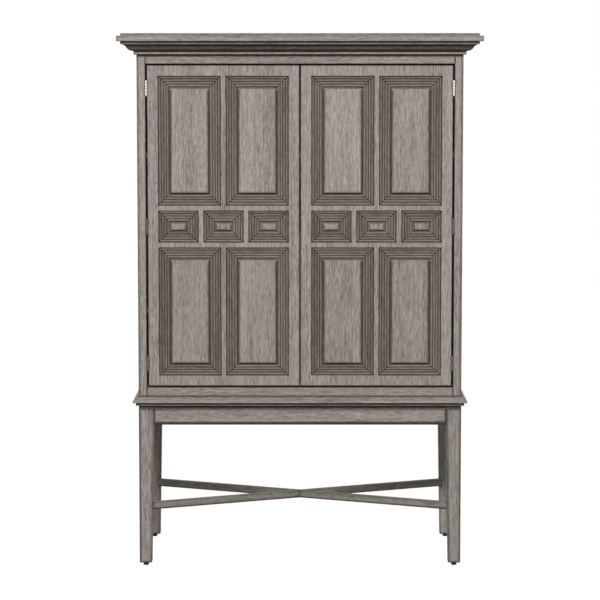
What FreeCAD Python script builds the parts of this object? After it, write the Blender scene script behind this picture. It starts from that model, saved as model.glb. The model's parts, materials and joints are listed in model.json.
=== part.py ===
import FreeCAD, Part
import Sketcher
import math
import os
from types import SimpleNamespace

# Bar cabinet: a two-door case with reeded, mitred frames, on a stand with tapered legs.
# Millimetres. X runs to the right, Y to the back and Z up. The origin is on the ground,
# in the middle of the cabinet's outline, and the doors face -Y.

sizes = {
    # Case
    "case_width": 1000,
    "case_depth": 492,
    "case_height": 1123,
    "side_thickness": 20,
    "panel_thickness": 20,
    "back_thickness": 8,
    "back_rabbet_width": 10,
    # Face frame
    "frame_thickness": 22,
    "stile_width": 27,
    "top_rail_height": 69,
    "bottom_rail_height": 58,
    # Top board
    "top_overhang": 58,
    "top_band_height": 17,
    "top_step_height": 7.5,
    "top_step_setback": 12,
    "cleat_width": 22,
    # Cornice, from its foot up
    "cornice_foot_projection": 8,
    "cornice_foot_height": 9.5,
    "cornice_step_projection": 3,
    "cornice_step_height": 2,
    "cyma_projection": 35,
    "cyma_height": 20,
    "cornice_cap_height": 9,
    # Base moulding, from its foot up
    "base_foot_projection": 8.5,
    "base_foot_height": 9.5,
    "base_lip_projection": 18,
    "base_lip_height": 4.3,
    "base_slope_height": 14.7,
    # Stand
    "stand_height": 505,
    "foot_lift": 10,
    "leg_width": 46,
    "leg_toe_width": 38,
    "leg_taper_drop": 4,
    "apron_height": 61,
    "apron_thickness": 22,
    "apron_setback": 4,
    "bead_height": 5.5,
    "bead_depth": 2.5,
    "quirk_height": 3.5,
    "stretcher_width": 22,
    "stretcher_level": 184,
    "corner_block_reach": 80,
    "corner_block_height": 30,
    "bearer_width": 60,
    # Levelling feet
    "foot_radius": 8.5,
    "foot_stem_radius": 4,
    "foot_stem_length": 34,
    "insert_radius": 6.5,
    "insert_length": 24,
    "insert_seat_depth": 50,
    # Doors
    "door_side_gap": 4,
    "door_end_gap": 3.5,
    "door_centre_gap": 3,
    "field_side_margin": 33.75,
    "field_end_margin": 33,
    "frame_gap": 16,
    "small_frame_height": 98,
    "channel_depth": 7,
    # Reeded sticks
    "reed_width": 8.3,
    "reed_height": 2,
    "reed_crown_width": 3.6,
    "stick_base": 3.5,
    "inner_groove": 5.3,
    # Butt hinges
    "hinge_height": 46,
    "hinge_end_distance": 70,
    "hinge_proud": 2.5,
    "hinge_leaf_depth": 18,
    "hinge_leaf_thickness": 1.8,
    "hinge_tab_clearance": 1.5,
    "knuckle_radius": 3,
    "knuckle_gap": 0.3,
    "pin_radius": 1.3,
    "pin_tip_radius": 2.4,
    "pin_tip_height": 2,
    # Interior
    "middle_shelf_level": 457,
    "shelf_setback": 8,
    "shelf_thickness": 18,
    "shelf_clearance": 1,
    "upper_shelf_level": 230,
    "lower_shelf_level": 225,
    "batten_width": 14,
    "batten_height": 20,
    "batten_inset": 30,
    "stemware_pitch": 100,
    "stemware_length": 360,
    "stemware_flange_width": 70,
    "stemware_flange_height": 6,
    "stemware_stem_width": 20,
    "stemware_stem_height": 26,
    "wine_divider_thickness": 14,
    "wine_divider_depth": 330,
    "door_stop_width": 12,
    "door_stop_length": 800,
    # Push latches
    "latch_width": 18,
    "latch_height": 16,
    "latch_length": 58,
    "latch_offset": 30,
    "latch_standoff": 3,
    "plunger_radius": 4,
    "plunger_length": 44,
    "strike_width": 16,
    "strike_height": 26,
    "strike_thickness": 1,
    # Fixing holes for a tip restraint
    "restraint_spacing": 400,
    "restraint_hole_radius": 2.5,
    "restraint_hole_depth": 16,
    # Fits
    "running_clearance": 0.05,
    "seat_clearance": 0.3,
    "cut_overrun": 5,
}

tall_frame_count = 2
small_frame_count = 3
reed_count = 4
case_knuckle_count = 3
door_knuckle_count = 2
stemware_count = 5
round_side_count = 12
insert_side_count = 6

doc = FreeCAD.newDocument("BarCabinet")
sheet = doc.addObject("Spreadsheet::Sheet", "Sizes")
for row, (alias, number) in enumerate(sizes.items(), start=1):
    sheet.set(f"A{row}", str(number))
    sheet.setAlias(f"A{row}", alias)
doc.recompute()


class Measure:
    # A number together with the sheet formula that gives it.

    def __init__(self, value, formula):
        self.value = value
        self.formula = formula

    def __add__(self, other):
        other = measure(other)
        return Measure(self.value + other.value, f"({self.formula} + {other.formula})")

    def __sub__(self, other):
        other = measure(other)
        return Measure(self.value - other.value, f"({self.formula} - {other.formula})")

    def __mul__(self, other):
        other = measure(other)
        return Measure(self.value * other.value, f"({self.formula} * {other.formula})")

    def __truediv__(self, other):
        other = measure(other)
        return Measure(self.value / other.value, f"({self.formula} / {other.formula})")

    def __neg__(self):
        return Measure(-self.value, f"(0 - {self.formula})")

    def __radd__(self, other):
        return measure(other) + self

    def __rsub__(self, other):
        return measure(other) - self

    def __rmul__(self, other):
        return measure(other) * self


def measure(number):
    if isinstance(number, Measure):
        return number
    return Measure(number, str(number))


def root(number):
    return Measure(math.sqrt(number.value), f"sqrt({number.formula})")


def arctangent(number):
    return Measure(math.degrees(math.atan(number.value)), f"atan({number.formula})")


size = SimpleNamespace(**{
    alias: Measure(number, f"Sizes.{alias}")
    for alias, number in sizes.items()
})


# Ways to make solids

def bind(thing, formulas):
    for target, number in formulas.items():
        thing.setExpression(target, measure(number).formula)


def place(thing, x=0, y=0, z=0, turn=0, axis=(0, 0, 1)):
    # Turns the piece about its own origin, then moves it.
    rotation = FreeCAD.Rotation(FreeCAD.Vector(*axis), turn)
    thing.Placement = FreeCAD.Placement(FreeCAD.Vector(), rotation)
    bind(thing, {"Placement.Base.x": x, "Placement.Base.y": y, "Placement.Base.z": z})
    return thing


def board(name, x, y, z, width, depth, height):
    box = doc.addObject("Part::Box", name)
    bind(box, {"Length": width, "Width": depth, "Height": height})
    return place(box, x, y, z)


def rod(name, x, y, z, radius, length, turn=0, axis=(1, 0, 0)):
    cylinder = doc.addObject("Part::Cylinder", name)
    bind(cylinder, {"Radius": radius, "Height": length})
    return place(cylinder, x, y, z, turn, axis)


def cut(name, base, tools):
    # Takes every tool away from the base, one after the other.
    for index, tool in enumerate(tools, start=1):
        last = index == len(tools)
        step = doc.addObject("Part::Cut", name if last else f"{name}_cut_{index}")
        step.Base = base
        step.Tool = tool
        base = step
    return base


def copy_of(source, name, x=0, y=0, z=0, turn=0, axis=(0, 0, 1)):
    link = doc.addObject("App::Link", name)
    link.LinkedObject = source
    return place(link, x, y, z, turn, axis)


def group(name, pieces):
    compound = doc.addObject("Part::Compound", name)
    compound.Links = pieces
    return compound


def body(name):
    return doc.addObject("PartDesign::Body", name)


def plane_of(owner, role):
    return [feature for feature in owner.Origin.OriginFeatures if feature.Role == role][0]


def arc_geometry(start, end, radius, side):
    # The short arc between two points, with its centre to the left (1) or right (-1).
    chord = end - start
    middle = (start + end) / 2
    rise = math.sqrt(max(radius ** 2 - (chord.Length / 2) ** 2, 0))
    across = FreeCAD.Vector(-chord.y, chord.x, 0).normalize()
    centre = middle + across * rise * side
    first, last = (start, end) if side > 0 else (end, start)
    angles = [math.atan2(point.y - centre.y, point.x - centre.x) for point in (first, last)]
    if angles[1] < angles[0]:
        angles[1] += 2 * math.pi
    circle = Part.Circle(centre, FreeCAD.Vector(0, 0, 1), radius)
    return Part.ArcOfCircle(circle, angles[0], angles[1])


def add_loop(sketch, corners):
    # A corner is (u, v), or (u, v, radius, side) where an arc runs on to the next corner.
    points = [FreeCAD.Vector(measure(corner[0]).value, measure(corner[1]).value, 0) for corner in corners]
    edges = []
    for index, corner in enumerate(corners):
        start = points[index]
        end = points[(index + 1) % len(points)]
        if len(corner) == 4:
            edge = sketch.addGeometry(arc_geometry(start, end, corner[2].value, corner[3]), False)
            heads = (1, 2) if corner[3] > 0 else (2, 1)
        else:
            edge = sketch.addGeometry(Part.LineSegment(start, end), False)
            heads = (1, 2)
        edges.append((edge, heads))
    for index, (edge, heads) in enumerate(edges):
        following, next_heads = edges[(index + 1) % len(edges)]
        sketch.addConstraint(Sketcher.Constraint("Coincident", edge, heads[1], following, next_heads[0]))
    for (edge, heads), corner, point in zip(edges, corners, points):
        across = sketch.addConstraint(Sketcher.Constraint("DistanceX", -1, 1, edge, heads[0], point.x))
        up = sketch.addConstraint(Sketcher.Constraint("DistanceY", -1, 1, edge, heads[0], point.y))
        bind(sketch, {f"Constraints[{across}]": corner[0], f"Constraints[{up}]": corner[1]})
        if len(corner) == 4:
            bend = sketch.addConstraint(Sketcher.Constraint("Radius", edge, corner[2].value))
            bind(sketch, {f"Constraints[{bend}]": corner[2]})


def add_circle(sketch, u, v, radius):
    centre = FreeCAD.Vector(measure(u).value, measure(v).value, 0)
    circle = sketch.addGeometry(Part.Circle(centre, FreeCAD.Vector(0, 0, 1), radius.value), False)
    across = sketch.addConstraint(Sketcher.Constraint("DistanceX", -1, 1, circle, 3, centre.x))
    up = sketch.addConstraint(Sketcher.Constraint("DistanceY", -1, 1, circle, 3, centre.y))
    wide = sketch.addConstraint(Sketcher.Constraint("Radius", circle, radius.value))
    bind(sketch, {f"Constraints[{across}]": u, f"Constraints[{up}]": v, f"Constraints[{wide}]": radius})


def sketch_on(owner, name, role, loops=(), circles=(), level=0):
    sketch = owner.newObject("Sketcher::SketchObject", name)
    sketch.AttachmentSupport = [(plane_of(owner, role), "")]
    sketch.MapMode = "FlatFace"
    bind(sketch, {"AttachmentOffset.Base.z": level})
    for corners in loops:
        add_loop(sketch, corners)
    for circle in circles:
        add_circle(sketch, *circle)
    return sketch


def pad(owner, name, sketch, length, symmetric=False, backwards=False):
    feature = owner.newObject("PartDesign::Pad", name)
    feature.Profile = (sketch, [])
    feature.SideType = "Symmetric" if symmetric else "One side"
    feature.Reversed = backwards
    bind(feature, {"Length": length})
    doc.recompute()
    return feature


def pocket(owner, name, sketch, length=None, symmetric=False, backwards=False):
    # Cuts to the given depth, or through everything where no depth is given.
    before = owner.Shape.Volume
    feature = owner.newObject("PartDesign::Pocket", name)
    feature.Profile = (sketch, [])
    feature.SideType = "Symmetric" if symmetric else "One side"
    feature.Reversed = backwards
    if length is None:
        feature.Type = "ThroughAll"
    else:
        bind(feature, {"Length": length})
    doc.recompute()
    if owner.Shape.Volume >= before:
        raise RuntimeError(f"{owner.Label}: {name} takes nothing away")
    return feature


def pattern(owner, name, features, role, length, count):
    copies = owner.newObject("PartDesign::LinearPattern", name)
    copies.Originals = features
    copies.Direction = (plane_of(owner, role), [""])
    copies.Occurrences = count
    bind(copies, {"Length": length})
    owner.Tip = copies
    doc.recompute()
    return copies


def turned(name, corners):
    # A solid turned about its own Z axis from an outline of (radius, level) corners.
    owner = body(name)
    sketch = sketch_on(owner, f"{name}_outline", "XZ_Plane", [corners])
    feature = owner.newObject("PartDesign::Revolution", f"{name}_turned")
    feature.Profile = (sketch, [])
    feature.ReferenceAxis = (sketch, ["V_Axis"])
    feature.Angle = 360
    doc.recompute()
    return owner


def rectangle(left, bottom, right, top):
    return [(left, bottom), (right, bottom), (right, top), (left, top)]


def even_loop(count, radius):
    # A flat-sided outline about the sketch's origin, with its corners at this radius.
    corners = []
    for number in range(count):
        angle = 2 * math.pi * number / count
        across_share = round(math.cos(angle), 6)
        up_share = round(math.sin(angle), 6)
        corners.append((radius * across_share, radius * up_share))
    return corners


def bore_loop(radius):
    # A small bore's outline, whose flats just clear a round of this radius.
    flat_share = round(math.cos(math.pi / round_side_count), 6)
    return even_loop(round_side_count, radius / flat_share)


def moulding(name, outline, reach, half_length, end_kinds):
    # A length of moulding along its own X, with its outline's projection towards -Y.
    # Each end is square, or mitred so that the piece is longest at its outermost edge.
    owner = body(name)
    profile = sketch_on(owner, f"{name}_outline", "YZ_Plane", [outline])
    run = half_length + reach
    pad(owner, f"{name}_run", profile, 2 * run, symmetric=True)
    beyond = size.cut_overrun
    loops = []
    for end, kind in zip((-1, 1), end_kinds):
        if kind == "mitre":
            loops.append([
                (end * (half_length - beyond), beyond),
                (end * (run + 2 * beyond), beyond),
                (end * (run + 2 * beyond), -(reach + 2 * beyond)),
            ])
        else:
            loops.append(rectangle(end * half_length, -(reach + beyond), end * (run + beyond), beyond))
    for number, loop in enumerate(loops, start=1):
        ends = sketch_on(owner, f"{name}_end_{number}", "XY_Plane", [loop])
        pocket(owner, f"{name}_end_cut_{number}", ends, symmetric=True)
    return owner


# Planes that the pieces share

half_width = size.case_width / 2
total_depth = size.case_depth + size.top_overhang
case_front = size.top_overhang - total_depth / 2
case_back = total_depth / 2
case_bottom = size.stand_height
case_top = case_bottom + size.case_height
frame_back = case_front + size.frame_thickness
inner_half = half_width - size.side_thickness
opening_half = half_width - size.stile_width
opening_bottom = case_bottom + size.bottom_rail_height
opening_top = case_top - size.top_rail_height
opening_height = opening_top - opening_bottom
back_panel_front = case_back - size.back_thickness
inner_depth = back_panel_front - frame_back
ceiling_top = opening_top + size.panel_thickness
depth_middle = (case_front + case_back) / 2
middle_shelf_bottom = opening_bottom + size.middle_shelf_level
middle_shelf_top = middle_shelf_bottom + size.panel_thickness

sides = {"left": -1, "right": 1}


def beside(side, centre, width):
    # The low X of a piece of this width that is centred at this distance from the middle.
    return sides[side] * centre - width / 2


# Stand

leg_height = size.stand_height - size.foot_lift
taper_height = leg_height - size.apron_height - size.leg_taper_drop
apron_bottom = size.stand_height - size.apron_height

# Each corner of the stand is drawn with its outer corner at its own origin, and turned.
corner_places = {
    "front_left": (-half_width, case_front, 0),
    "front_right": (half_width, case_front, 90),
    "back_right": (half_width, case_back, 180),
    "back_left": (-half_width, case_back, 270),
}


def leg(corner):
    name = f"leg_{corner}"
    x, y, turn = corner_places[corner]
    owner = body(name)
    outline = rectangle(0, 0, size.leg_width, size.leg_width)
    square = sketch_on(owner, f"{name}_square", "XY_Plane", [outline])
    pad(owner, f"{name}_blank", square, leg_height)
    beyond = size.cut_overrun
    slant = (size.leg_width - size.leg_toe_width) / taper_height
    taper = [
        (size.leg_toe_width - slant * beyond, -beyond),
        (size.leg_width + slant * beyond, taper_height + beyond),
        (size.leg_width + beyond, taper_height + beyond),
        (size.leg_width + beyond, -beyond),
    ]
    for role in ("XZ_Plane", "YZ_Plane"):
        face = role[0].lower()
        wedge = sketch_on(owner, f"{name}_taper_{face}", role, [taper])
        pocket(owner, f"{name}_taper_cut_{face}", wedge, symmetric=True)
    middle = size.leg_toe_width / 2
    nut = even_loop(insert_side_count, size.insert_radius)
    seat = [(middle + u, middle + v) for u, v in nut]
    mouth = sketch_on(owner, f"{name}_insert_seat", "XY_Plane", [seat])
    pocket(owner, f"{name}_insert_seat_cut", mouth, size.insert_seat_depth, backwards=True)
    return place(owner, x, y, size.foot_lift, turn)


legs = {corner: leg(corner) for corner in corner_places}


def apron(name, length):
    # Drawn along its own X with its face towards -Y and a quirk bead along the bottom.
    bead_top = size.bead_height
    bead_radius = (bead_top * bead_top / 4 + size.bead_depth * size.bead_depth) / (2 * size.bead_depth)
    outline = [
        (size.apron_thickness, 0),
        (size.apron_thickness, size.apron_height),
        (0, size.apron_height),
        (0, bead_top + size.quirk_height),
        (size.bead_depth, bead_top + size.quirk_height),
        (size.bead_depth, bead_top, bead_radius, 1),
        (size.bead_depth, 0),
    ]
    owner = body(name)
    profile = sketch_on(owner, f"{name}_outline", "YZ_Plane", [outline])
    pad(owner, f"{name}_run", profile, length, symmetric=True)
    return owner


long_apron = size.case_width - 2 * size.leg_width
short_apron = size.case_depth - 2 * size.leg_width
apron_face = half_width - size.apron_setback
aprons = [
    place(apron("apron_front", long_apron), 0, case_front + size.apron_setback, apron_bottom),
    place(apron("apron_back", long_apron), 0, case_back - size.apron_setback, apron_bottom, 180),
    place(apron("apron_left", short_apron), -apron_face, depth_middle, apron_bottom, -90),
    place(apron("apron_right", short_apron), apron_face, depth_middle, apron_bottom, 90),
]

# The two stretcher bars run between the legs' inner corners and are halved into each other.
# Each end is notched over the corner of its leg.
leg_at_stretcher = size.leg_toe_width + (
    (size.leg_width - size.leg_toe_width) * (size.stretcher_level - size.foot_lift) / taper_height)
bar_across = half_width - leg_at_stretcher
bar_back = size.case_depth / 2 - leg_at_stretcher
bar_angle = arctangent(bar_back / bar_across)
notch_reach = size.stretcher_width / 2 * bar_back / bar_across
bar_length = 2 * (root(bar_across * bar_across + bar_back * bar_back) + notch_reach)
stretcher_bottom = size.stretcher_level - size.stretcher_width / 2
half_lap = size.stretcher_width / 2


def diagonal_bar(name, lean, length, height, bottom):
    # A bar centred in the stand's plan, turned to run from leg to leg.
    width = size.stretcher_width
    bar = board(f"{name}_straight", -length / 2, -width / 2, 0, length, width, height)
    turned_bar = group(name, [bar])
    place(turned_bar, 0, depth_middle, bottom)
    bind(turned_bar, {"Placement.Rotation.Angle": lean * bar_angle})
    return turned_bar


stretchers = []
for name, lean in (("stretcher_rising_right", 1), ("stretcher_rising_left", -1)):
    blank = diagonal_bar(f"{name}_blank", lean, bar_length, size.stretcher_width, stretcher_bottom)
    lap_bottom = stretcher_bottom + half_lap if lean > 0 else stretcher_bottom
    lap = diagonal_bar(f"{name}_lap", -lean, bar_length / 2, half_lap, lap_bottom)
    met = ("front_left", "back_right") if lean > 0 else ("front_right", "back_left")
    stretchers.append(cut(name, blank, [legs[corner] for corner in met] + [lap]))


# Corner blocks brace the aprons, and the case stands on the bearers above them

block_near = size.apron_setback + size.apron_thickness
block_far = block_near + size.corner_block_reach
block_outline = [
    (size.leg_width, block_near),
    (block_far, block_near),
    (block_near, block_far),
    (block_near, size.leg_width),
    (size.leg_width, size.leg_width),
]
block = body("corner_block")
block_sketch = sketch_on(block, "corner_block_outline", "XY_Plane", [block_outline])
pad(block, "corner_block_pad", block_sketch, size.corner_block_height)
corner_blocks = group("corner_blocks", [
    copy_of(block, f"corner_block_{corner}", x, y, case_bottom - size.corner_block_height, turn)
    for corner, (x, y, turn) in corner_places.items()
])
base_bearers = group("base_bearers", [
    board(
        f"base_bearer_{side}", beside(side, inner_half - size.bearer_width / 2, size.bearer_width),
        frame_back, case_bottom, size.bearer_width, inner_depth,
        size.bottom_rail_height - size.panel_thickness)
    for side in sides
])


# Levelling feet and the hexagonal insert nuts that guide them

insert = body("foot_insert")
insert_outside = sketch_on(
    insert, "foot_insert_outline", "XY_Plane", [even_loop(insert_side_count, size.insert_radius)])
pad(insert, "foot_insert_pad", insert_outside, size.insert_length)
insert_bore = sketch_on(
    insert, "foot_insert_bore", "XY_Plane", [bore_loop(size.foot_stem_radius + size.running_clearance)])
pocket(insert, "foot_insert_bore_cut", insert_bore, symmetric=True)
foot_top = size.foot_lift - size.seat_clearance
foot_along = half_width - size.leg_toe_width / 2
inserts = []
feet = {}
for corner, (_, _, turn) in corner_places.items():
    foot_x = foot_along if "right" in corner else -foot_along
    inward = size.leg_toe_width / 2
    foot_y = case_back - inward if "back" in corner else case_front + inward
    inserts.append(copy_of(insert, f"foot_insert_{corner}", foot_x, foot_y, size.foot_lift, turn))
    feet[corner] = turned(f"foot_{corner}", [
        (0, 0),
        (size.foot_radius, 0),
        (size.foot_radius, foot_top),
        (size.foot_stem_radius, foot_top),
        (size.foot_stem_radius, foot_top + size.foot_stem_length),
        (0, foot_top + size.foot_stem_length),
    ])
    place(feet[corner], foot_x, foot_y, 0)
foot_inserts = group("foot_inserts", inserts)


# Case

shelf_inner_depth = inner_depth - size.shelf_setback
shelf_front = frame_back + size.shelf_setback
upper_shelf_bottom = middle_shelf_top + size.upper_shelf_level
lower_shelf_bottom = opening_bottom + size.lower_shelf_level


def side_panel(side):
    name = f"side_panel_{side}"
    blank = board(
        f"{name}_blank", beside(side, half_width - size.side_thickness / 2, size.side_thickness),
        frame_back, case_bottom, size.side_thickness, case_back - frame_back, size.case_height)
    rabbet_width = size.back_rabbet_width
    rabbet = board(
        f"{name}_rabbet", beside(side, inner_half + rabbet_width / 2, rabbet_width),
        back_panel_front, case_bottom, rabbet_width, size.back_thickness, ceiling_top - case_bottom)
    return cut(name, blank, [rabbet])


side_panels = [side_panel(side) for side in sides]
inner_width = 2 * inner_half
floor_panel = board(
    "floor_panel", -inner_half, frame_back, opening_bottom - size.panel_thickness,
    inner_width, inner_depth, size.panel_thickness)
ceiling_panel = board(
    "ceiling_panel", -inner_half, frame_back, opening_top, inner_width, inner_depth, size.panel_thickness)
back_reach = inner_half + size.back_rabbet_width
back_panel = board(
    "back_panel", -back_reach, back_panel_front, case_bottom,
    2 * back_reach, size.back_thickness, ceiling_top - case_bottom)

back_rail_front = case_back - size.panel_thickness
back_rail_height = case_top - ceiling_top
restraint_holes = [
    rod(
        f"restraint_hole_{side}", sides[side] * size.restraint_spacing / 2, case_back,
        ceiling_top + back_rail_height / 2, size.restraint_hole_radius, size.restraint_hole_depth, 90)
    for side in sides
]
back_rail_blank = board(
    "back_top_rail_blank", -inner_half, back_rail_front, ceiling_top,
    inner_width, size.panel_thickness, back_rail_height)
back_top_rail = cut("back_top_rail", back_rail_blank, restraint_holes)

stiles = [
    board(
        f"stile_{side}", beside(side, half_width - size.stile_width / 2, size.stile_width),
        case_front, case_bottom, size.stile_width, size.frame_thickness, size.case_height)
    for side in sides
]
top_rail = board(
    "top_rail", -opening_half, case_front, opening_top,
    2 * opening_half, size.frame_thickness, size.top_rail_height)
bottom_rail = board(
    "bottom_rail", -opening_half, case_front, case_bottom,
    2 * opening_half, size.frame_thickness, size.bottom_rail_height)

top_board = body("top_board")
top_half = half_width + size.top_overhang
step_half = top_half - size.top_step_setback
top_front = case_front - size.top_overhang
band = sketch_on(
    top_board, "top_board_band", "XY_Plane", [rectangle(-top_half, top_front, top_half, case_back)])
pad(top_board, "top_board_band_pad", band, size.top_band_height)
step = sketch_on(
    top_board, "top_board_step", "XY_Plane",
    [rectangle(-step_half, top_front + size.top_step_setback, step_half, case_back)],
    level=size.top_band_height)
pad(top_board, "top_board_step_pad", step, size.top_step_height)
place(top_board, 0, 0, case_top)

top_cleats = group("top_cleats", [
    board(
        f"top_cleat_{side}", beside(side, inner_half - size.cleat_width / 2, size.cleat_width),
        frame_back, case_top - size.cleat_width, size.cleat_width,
        back_rail_front - frame_back, size.cleat_width)
    for side in sides
])


# Cornice and base moulding

cyma_foot = size.cornice_foot_projection + size.cornice_step_projection
cornice_reach = cyma_foot + size.cyma_projection
cyma_bottom = size.cornice_foot_height + size.cornice_step_height
cyma_top = cyma_bottom + size.cyma_height
cornice_height = cyma_top + size.cornice_cap_height
half_run = size.cyma_projection / 2
half_rise = size.cyma_height / 2
cyma_radius = (half_run * half_run + half_rise * half_rise) / (2 * half_rise)
cornice_outline = [
    (0, 0),
    (-size.cornice_foot_projection, 0),
    (-size.cornice_foot_projection, size.cornice_foot_height),
    (-cyma_foot, size.cornice_foot_height),
    (-cyma_foot, cyma_bottom, cyma_radius, -1),
    (-(cyma_foot + half_run), cyma_bottom + half_rise, cyma_radius, 1),
    (-cornice_reach, cyma_top),
    (-cornice_reach, cornice_height),
    (0, cornice_height),
]
base_outline = [
    (0, 0),
    (-size.base_foot_projection, 0),
    (-size.base_foot_projection, size.base_foot_height),
    (-size.base_lip_projection, size.base_foot_height),
    (-size.base_lip_projection, size.base_foot_height + size.base_lip_height),
    (0, size.base_foot_height + size.base_lip_height + size.base_slope_height),
]


def moulding_round(name, outline, reach, bottom):
    # The same moulding along the front and both sides, mitred at the two front corners.
    half_depth = size.case_depth / 2
    front = moulding(f"{name}_front", outline, reach, half_width, ("mitre", "mitre"))
    left = moulding(f"{name}_left", outline, reach, half_depth, ("square", "mitre"))
    right = moulding(f"{name}_right", outline, reach, half_depth, ("mitre", "square"))
    return [
        place(front, 0, case_front, bottom),
        place(left, -half_width, depth_middle, bottom, -90),
        place(right, half_width, depth_middle, bottom, 90),
    ]


cornices = moulding_round("cornice", cornice_outline, cornice_reach, case_top - cornice_height)
base_mouldings = moulding_round("base_moulding", base_outline, size.base_lip_projection, case_bottom)


# Interior

middle_shelf = board(
    "middle_shelf", -inner_half, shelf_front, middle_shelf_bottom,
    inner_width, shelf_inner_depth, size.panel_thickness)
lower_divider = board(
    "lower_divider", -size.panel_thickness / 2, shelf_front, opening_bottom,
    size.panel_thickness, shelf_inner_depth, size.middle_shelf_level)
shelf_depth = shelf_inner_depth - size.shelf_clearance
upper_shelf = board(
    "upper_shelf", size.shelf_clearance - inner_half, shelf_front, upper_shelf_bottom,
    inner_width - 2 * size.shelf_clearance, shelf_depth, size.shelf_thickness)
lower_space = inner_half - size.panel_thickness / 2
lower_shelf = board(
    "lower_shelf", size.shelf_clearance - inner_half, shelf_front, lower_shelf_bottom,
    lower_space - 2 * size.shelf_clearance, shelf_depth, size.shelf_thickness)

# Each loose shelf lies on a batten at either end.
batten_starts = {
    "upper_left": (-inner_half, upper_shelf_bottom),
    "upper_right": (inner_half - size.batten_width, upper_shelf_bottom),
    "lower_left": (-inner_half, lower_shelf_bottom),
    "lower_right": (-size.panel_thickness / 2 - size.batten_width, lower_shelf_bottom),
}
shelf_battens = group("shelf_battens", [
    board(
        f"shelf_batten_{wall}", start, shelf_front + size.batten_inset, shelf_bottom - size.batten_height,
        size.batten_width, shelf_depth - size.batten_inset, size.batten_height)
    for wall, (start, shelf_bottom) in batten_starts.items()
])

# Inverted T rails: a glass hangs by its foot between two stems, on their flanges.
rail_outline = [
    (-size.stemware_flange_width / 2, 0),
    (size.stemware_flange_width / 2, 0),
    (size.stemware_flange_width / 2, size.stemware_flange_height),
    (size.stemware_stem_width / 2, size.stemware_flange_height),
    (size.stemware_stem_width / 2, size.stemware_stem_height),
    (-size.stemware_stem_width / 2, size.stemware_stem_height),
    (-size.stemware_stem_width / 2, size.stemware_flange_height),
    (-size.stemware_flange_width / 2, size.stemware_flange_height),
]
stemware_rail = body("stemware_rail")
rail_sketch = sketch_on(stemware_rail, "stemware_rail_outline", "XZ_Plane", [rail_outline])
pad(stemware_rail, "stemware_rail_run", rail_sketch, size.stemware_length)
stemware_rails = group("stemware_rails", [
    copy_of(
        stemware_rail, f"stemware_rail_{number + 1}",
        (number - (stemware_count - 1) / 2) * size.stemware_pitch,
        back_panel_front, opening_top - size.stemware_stem_height)
    for number in range(stemware_count)
])

# Two boards cross from corner to corner of the lower right space and slot into each other.
space_height = size.middle_shelf_level
space_diagonal = root(lower_space * lower_space + space_height * space_height)
corner_run = size.wine_divider_thickness / 2 * space_diagonal / space_height
corner_rise = size.wine_divider_thickness / 2 * space_diagonal / lower_space


def crossed_outline(lean):
    # A board from one corner of the space to the opposite one, shaped to both corners.
    half_space = lower_space / 2
    half_tall = space_height / 2
    corners = [
        (-half_space, -half_tall),
        (corner_run - half_space, -half_tall),
        (half_space, half_tall - corner_rise),
        (half_space, half_tall),
        (half_space - corner_run, half_tall),
        (-half_space, corner_rise - half_tall),
    ]
    return [(lean * u, v) for u, v in corners]


wine_dividers = []
for name, lean in (("wine_divider_rising", 1), ("wine_divider_falling", -1)):
    divider = body(name)
    outline = sketch_on(divider, f"{name}_outline", "XZ_Plane", [crossed_outline(lean)])
    pad(divider, f"{name}_board", outline, size.wine_divider_depth, symmetric=True)
    slot = sketch_on(divider, f"{name}_slot", "XZ_Plane", [crossed_outline(-lean)])
    pocket(divider, f"{name}_slot_cut", slot, size.wine_divider_depth, backwards=lean < 0)
    wine_dividers.append(place(
        divider, size.panel_thickness / 2 + lower_space / 2,
        back_panel_front - size.wine_divider_depth / 2, opening_bottom + space_height / 2))

door_stop = board(
    "door_stop", -size.door_stop_length / 2, frame_back + size.seat_clearance, opening_bottom,
    size.door_stop_length, size.shelf_setback - size.seat_clearance, size.door_stop_width)


# Doors

door_width = opening_half - size.door_side_gap - size.door_centre_gap / 2
door_height = opening_height - 2 * size.door_end_gap
door_bottom = opening_bottom + size.door_end_gap
door_inner = size.door_centre_gap / 2
door_middle = door_inner + door_width / 2
band_width = reed_count * size.reed_width + size.inner_groove
stick_width = reed_count * size.reed_width
field_width = door_width - 2 * size.field_side_margin
tall_frame_height = (
    door_height - 2 * size.field_end_margin - size.small_frame_height - 2 * size.frame_gap) / 2
frame_counts = {"tall": tall_frame_count, "small": small_frame_count}


def frame_width(kind):
    count = frame_counts[kind]
    return (field_width - (count - 1) * size.frame_gap) / count


frame_heights = {"tall": tall_frame_height, "small": size.small_frame_height}
row_bottoms = {
    "tall": (
        size.field_end_margin,
        size.field_end_margin + tall_frame_height + size.small_frame_height + 2 * size.frame_gap,
    ),
    "small": (size.field_end_margin + tall_frame_height + size.frame_gap,),
}


def frame_places(kind):
    # The lower left corner of each frame, from the middle of the door's bottom edge.
    width = frame_width(kind)
    return [
        (number * (width + size.frame_gap) - field_width / 2, bottom)
        for bottom in row_bottoms[kind]
        for number in range(frame_counts[kind])
    ]


def door_leaf(side):
    # A slab with a sunk channel for each frame, which leaves a raised field inside it.
    name = f"door_{side}"
    owner = body(name)
    slab = sketch_on(
        owner, f"{name}_slab", "XZ_Plane", [rectangle(-door_width / 2, 0, door_width / 2, door_height)])
    pad(owner, f"{name}_slab_pad", slab, size.frame_thickness, backwards=True)
    for kind in frame_counts:
        loops = []
        width = frame_width(kind)
        height = frame_heights[kind]
        for left, bottom in frame_places(kind):
            loops.append(rectangle(left, bottom, left + width, bottom + height))
            loops.append(rectangle(
                left + band_width, bottom + band_width,
                left + width - band_width, bottom + height - band_width))
        channels = sketch_on(owner, f"{name}_{kind}_channels", "XZ_Plane", loops)
        pocket(owner, f"{name}_{kind}_channels_cut", channels, size.channel_depth)
    return place(owner, sides[side] * door_middle, case_front, door_bottom)


door_leaves = [door_leaf(side) for side in sides]


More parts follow.
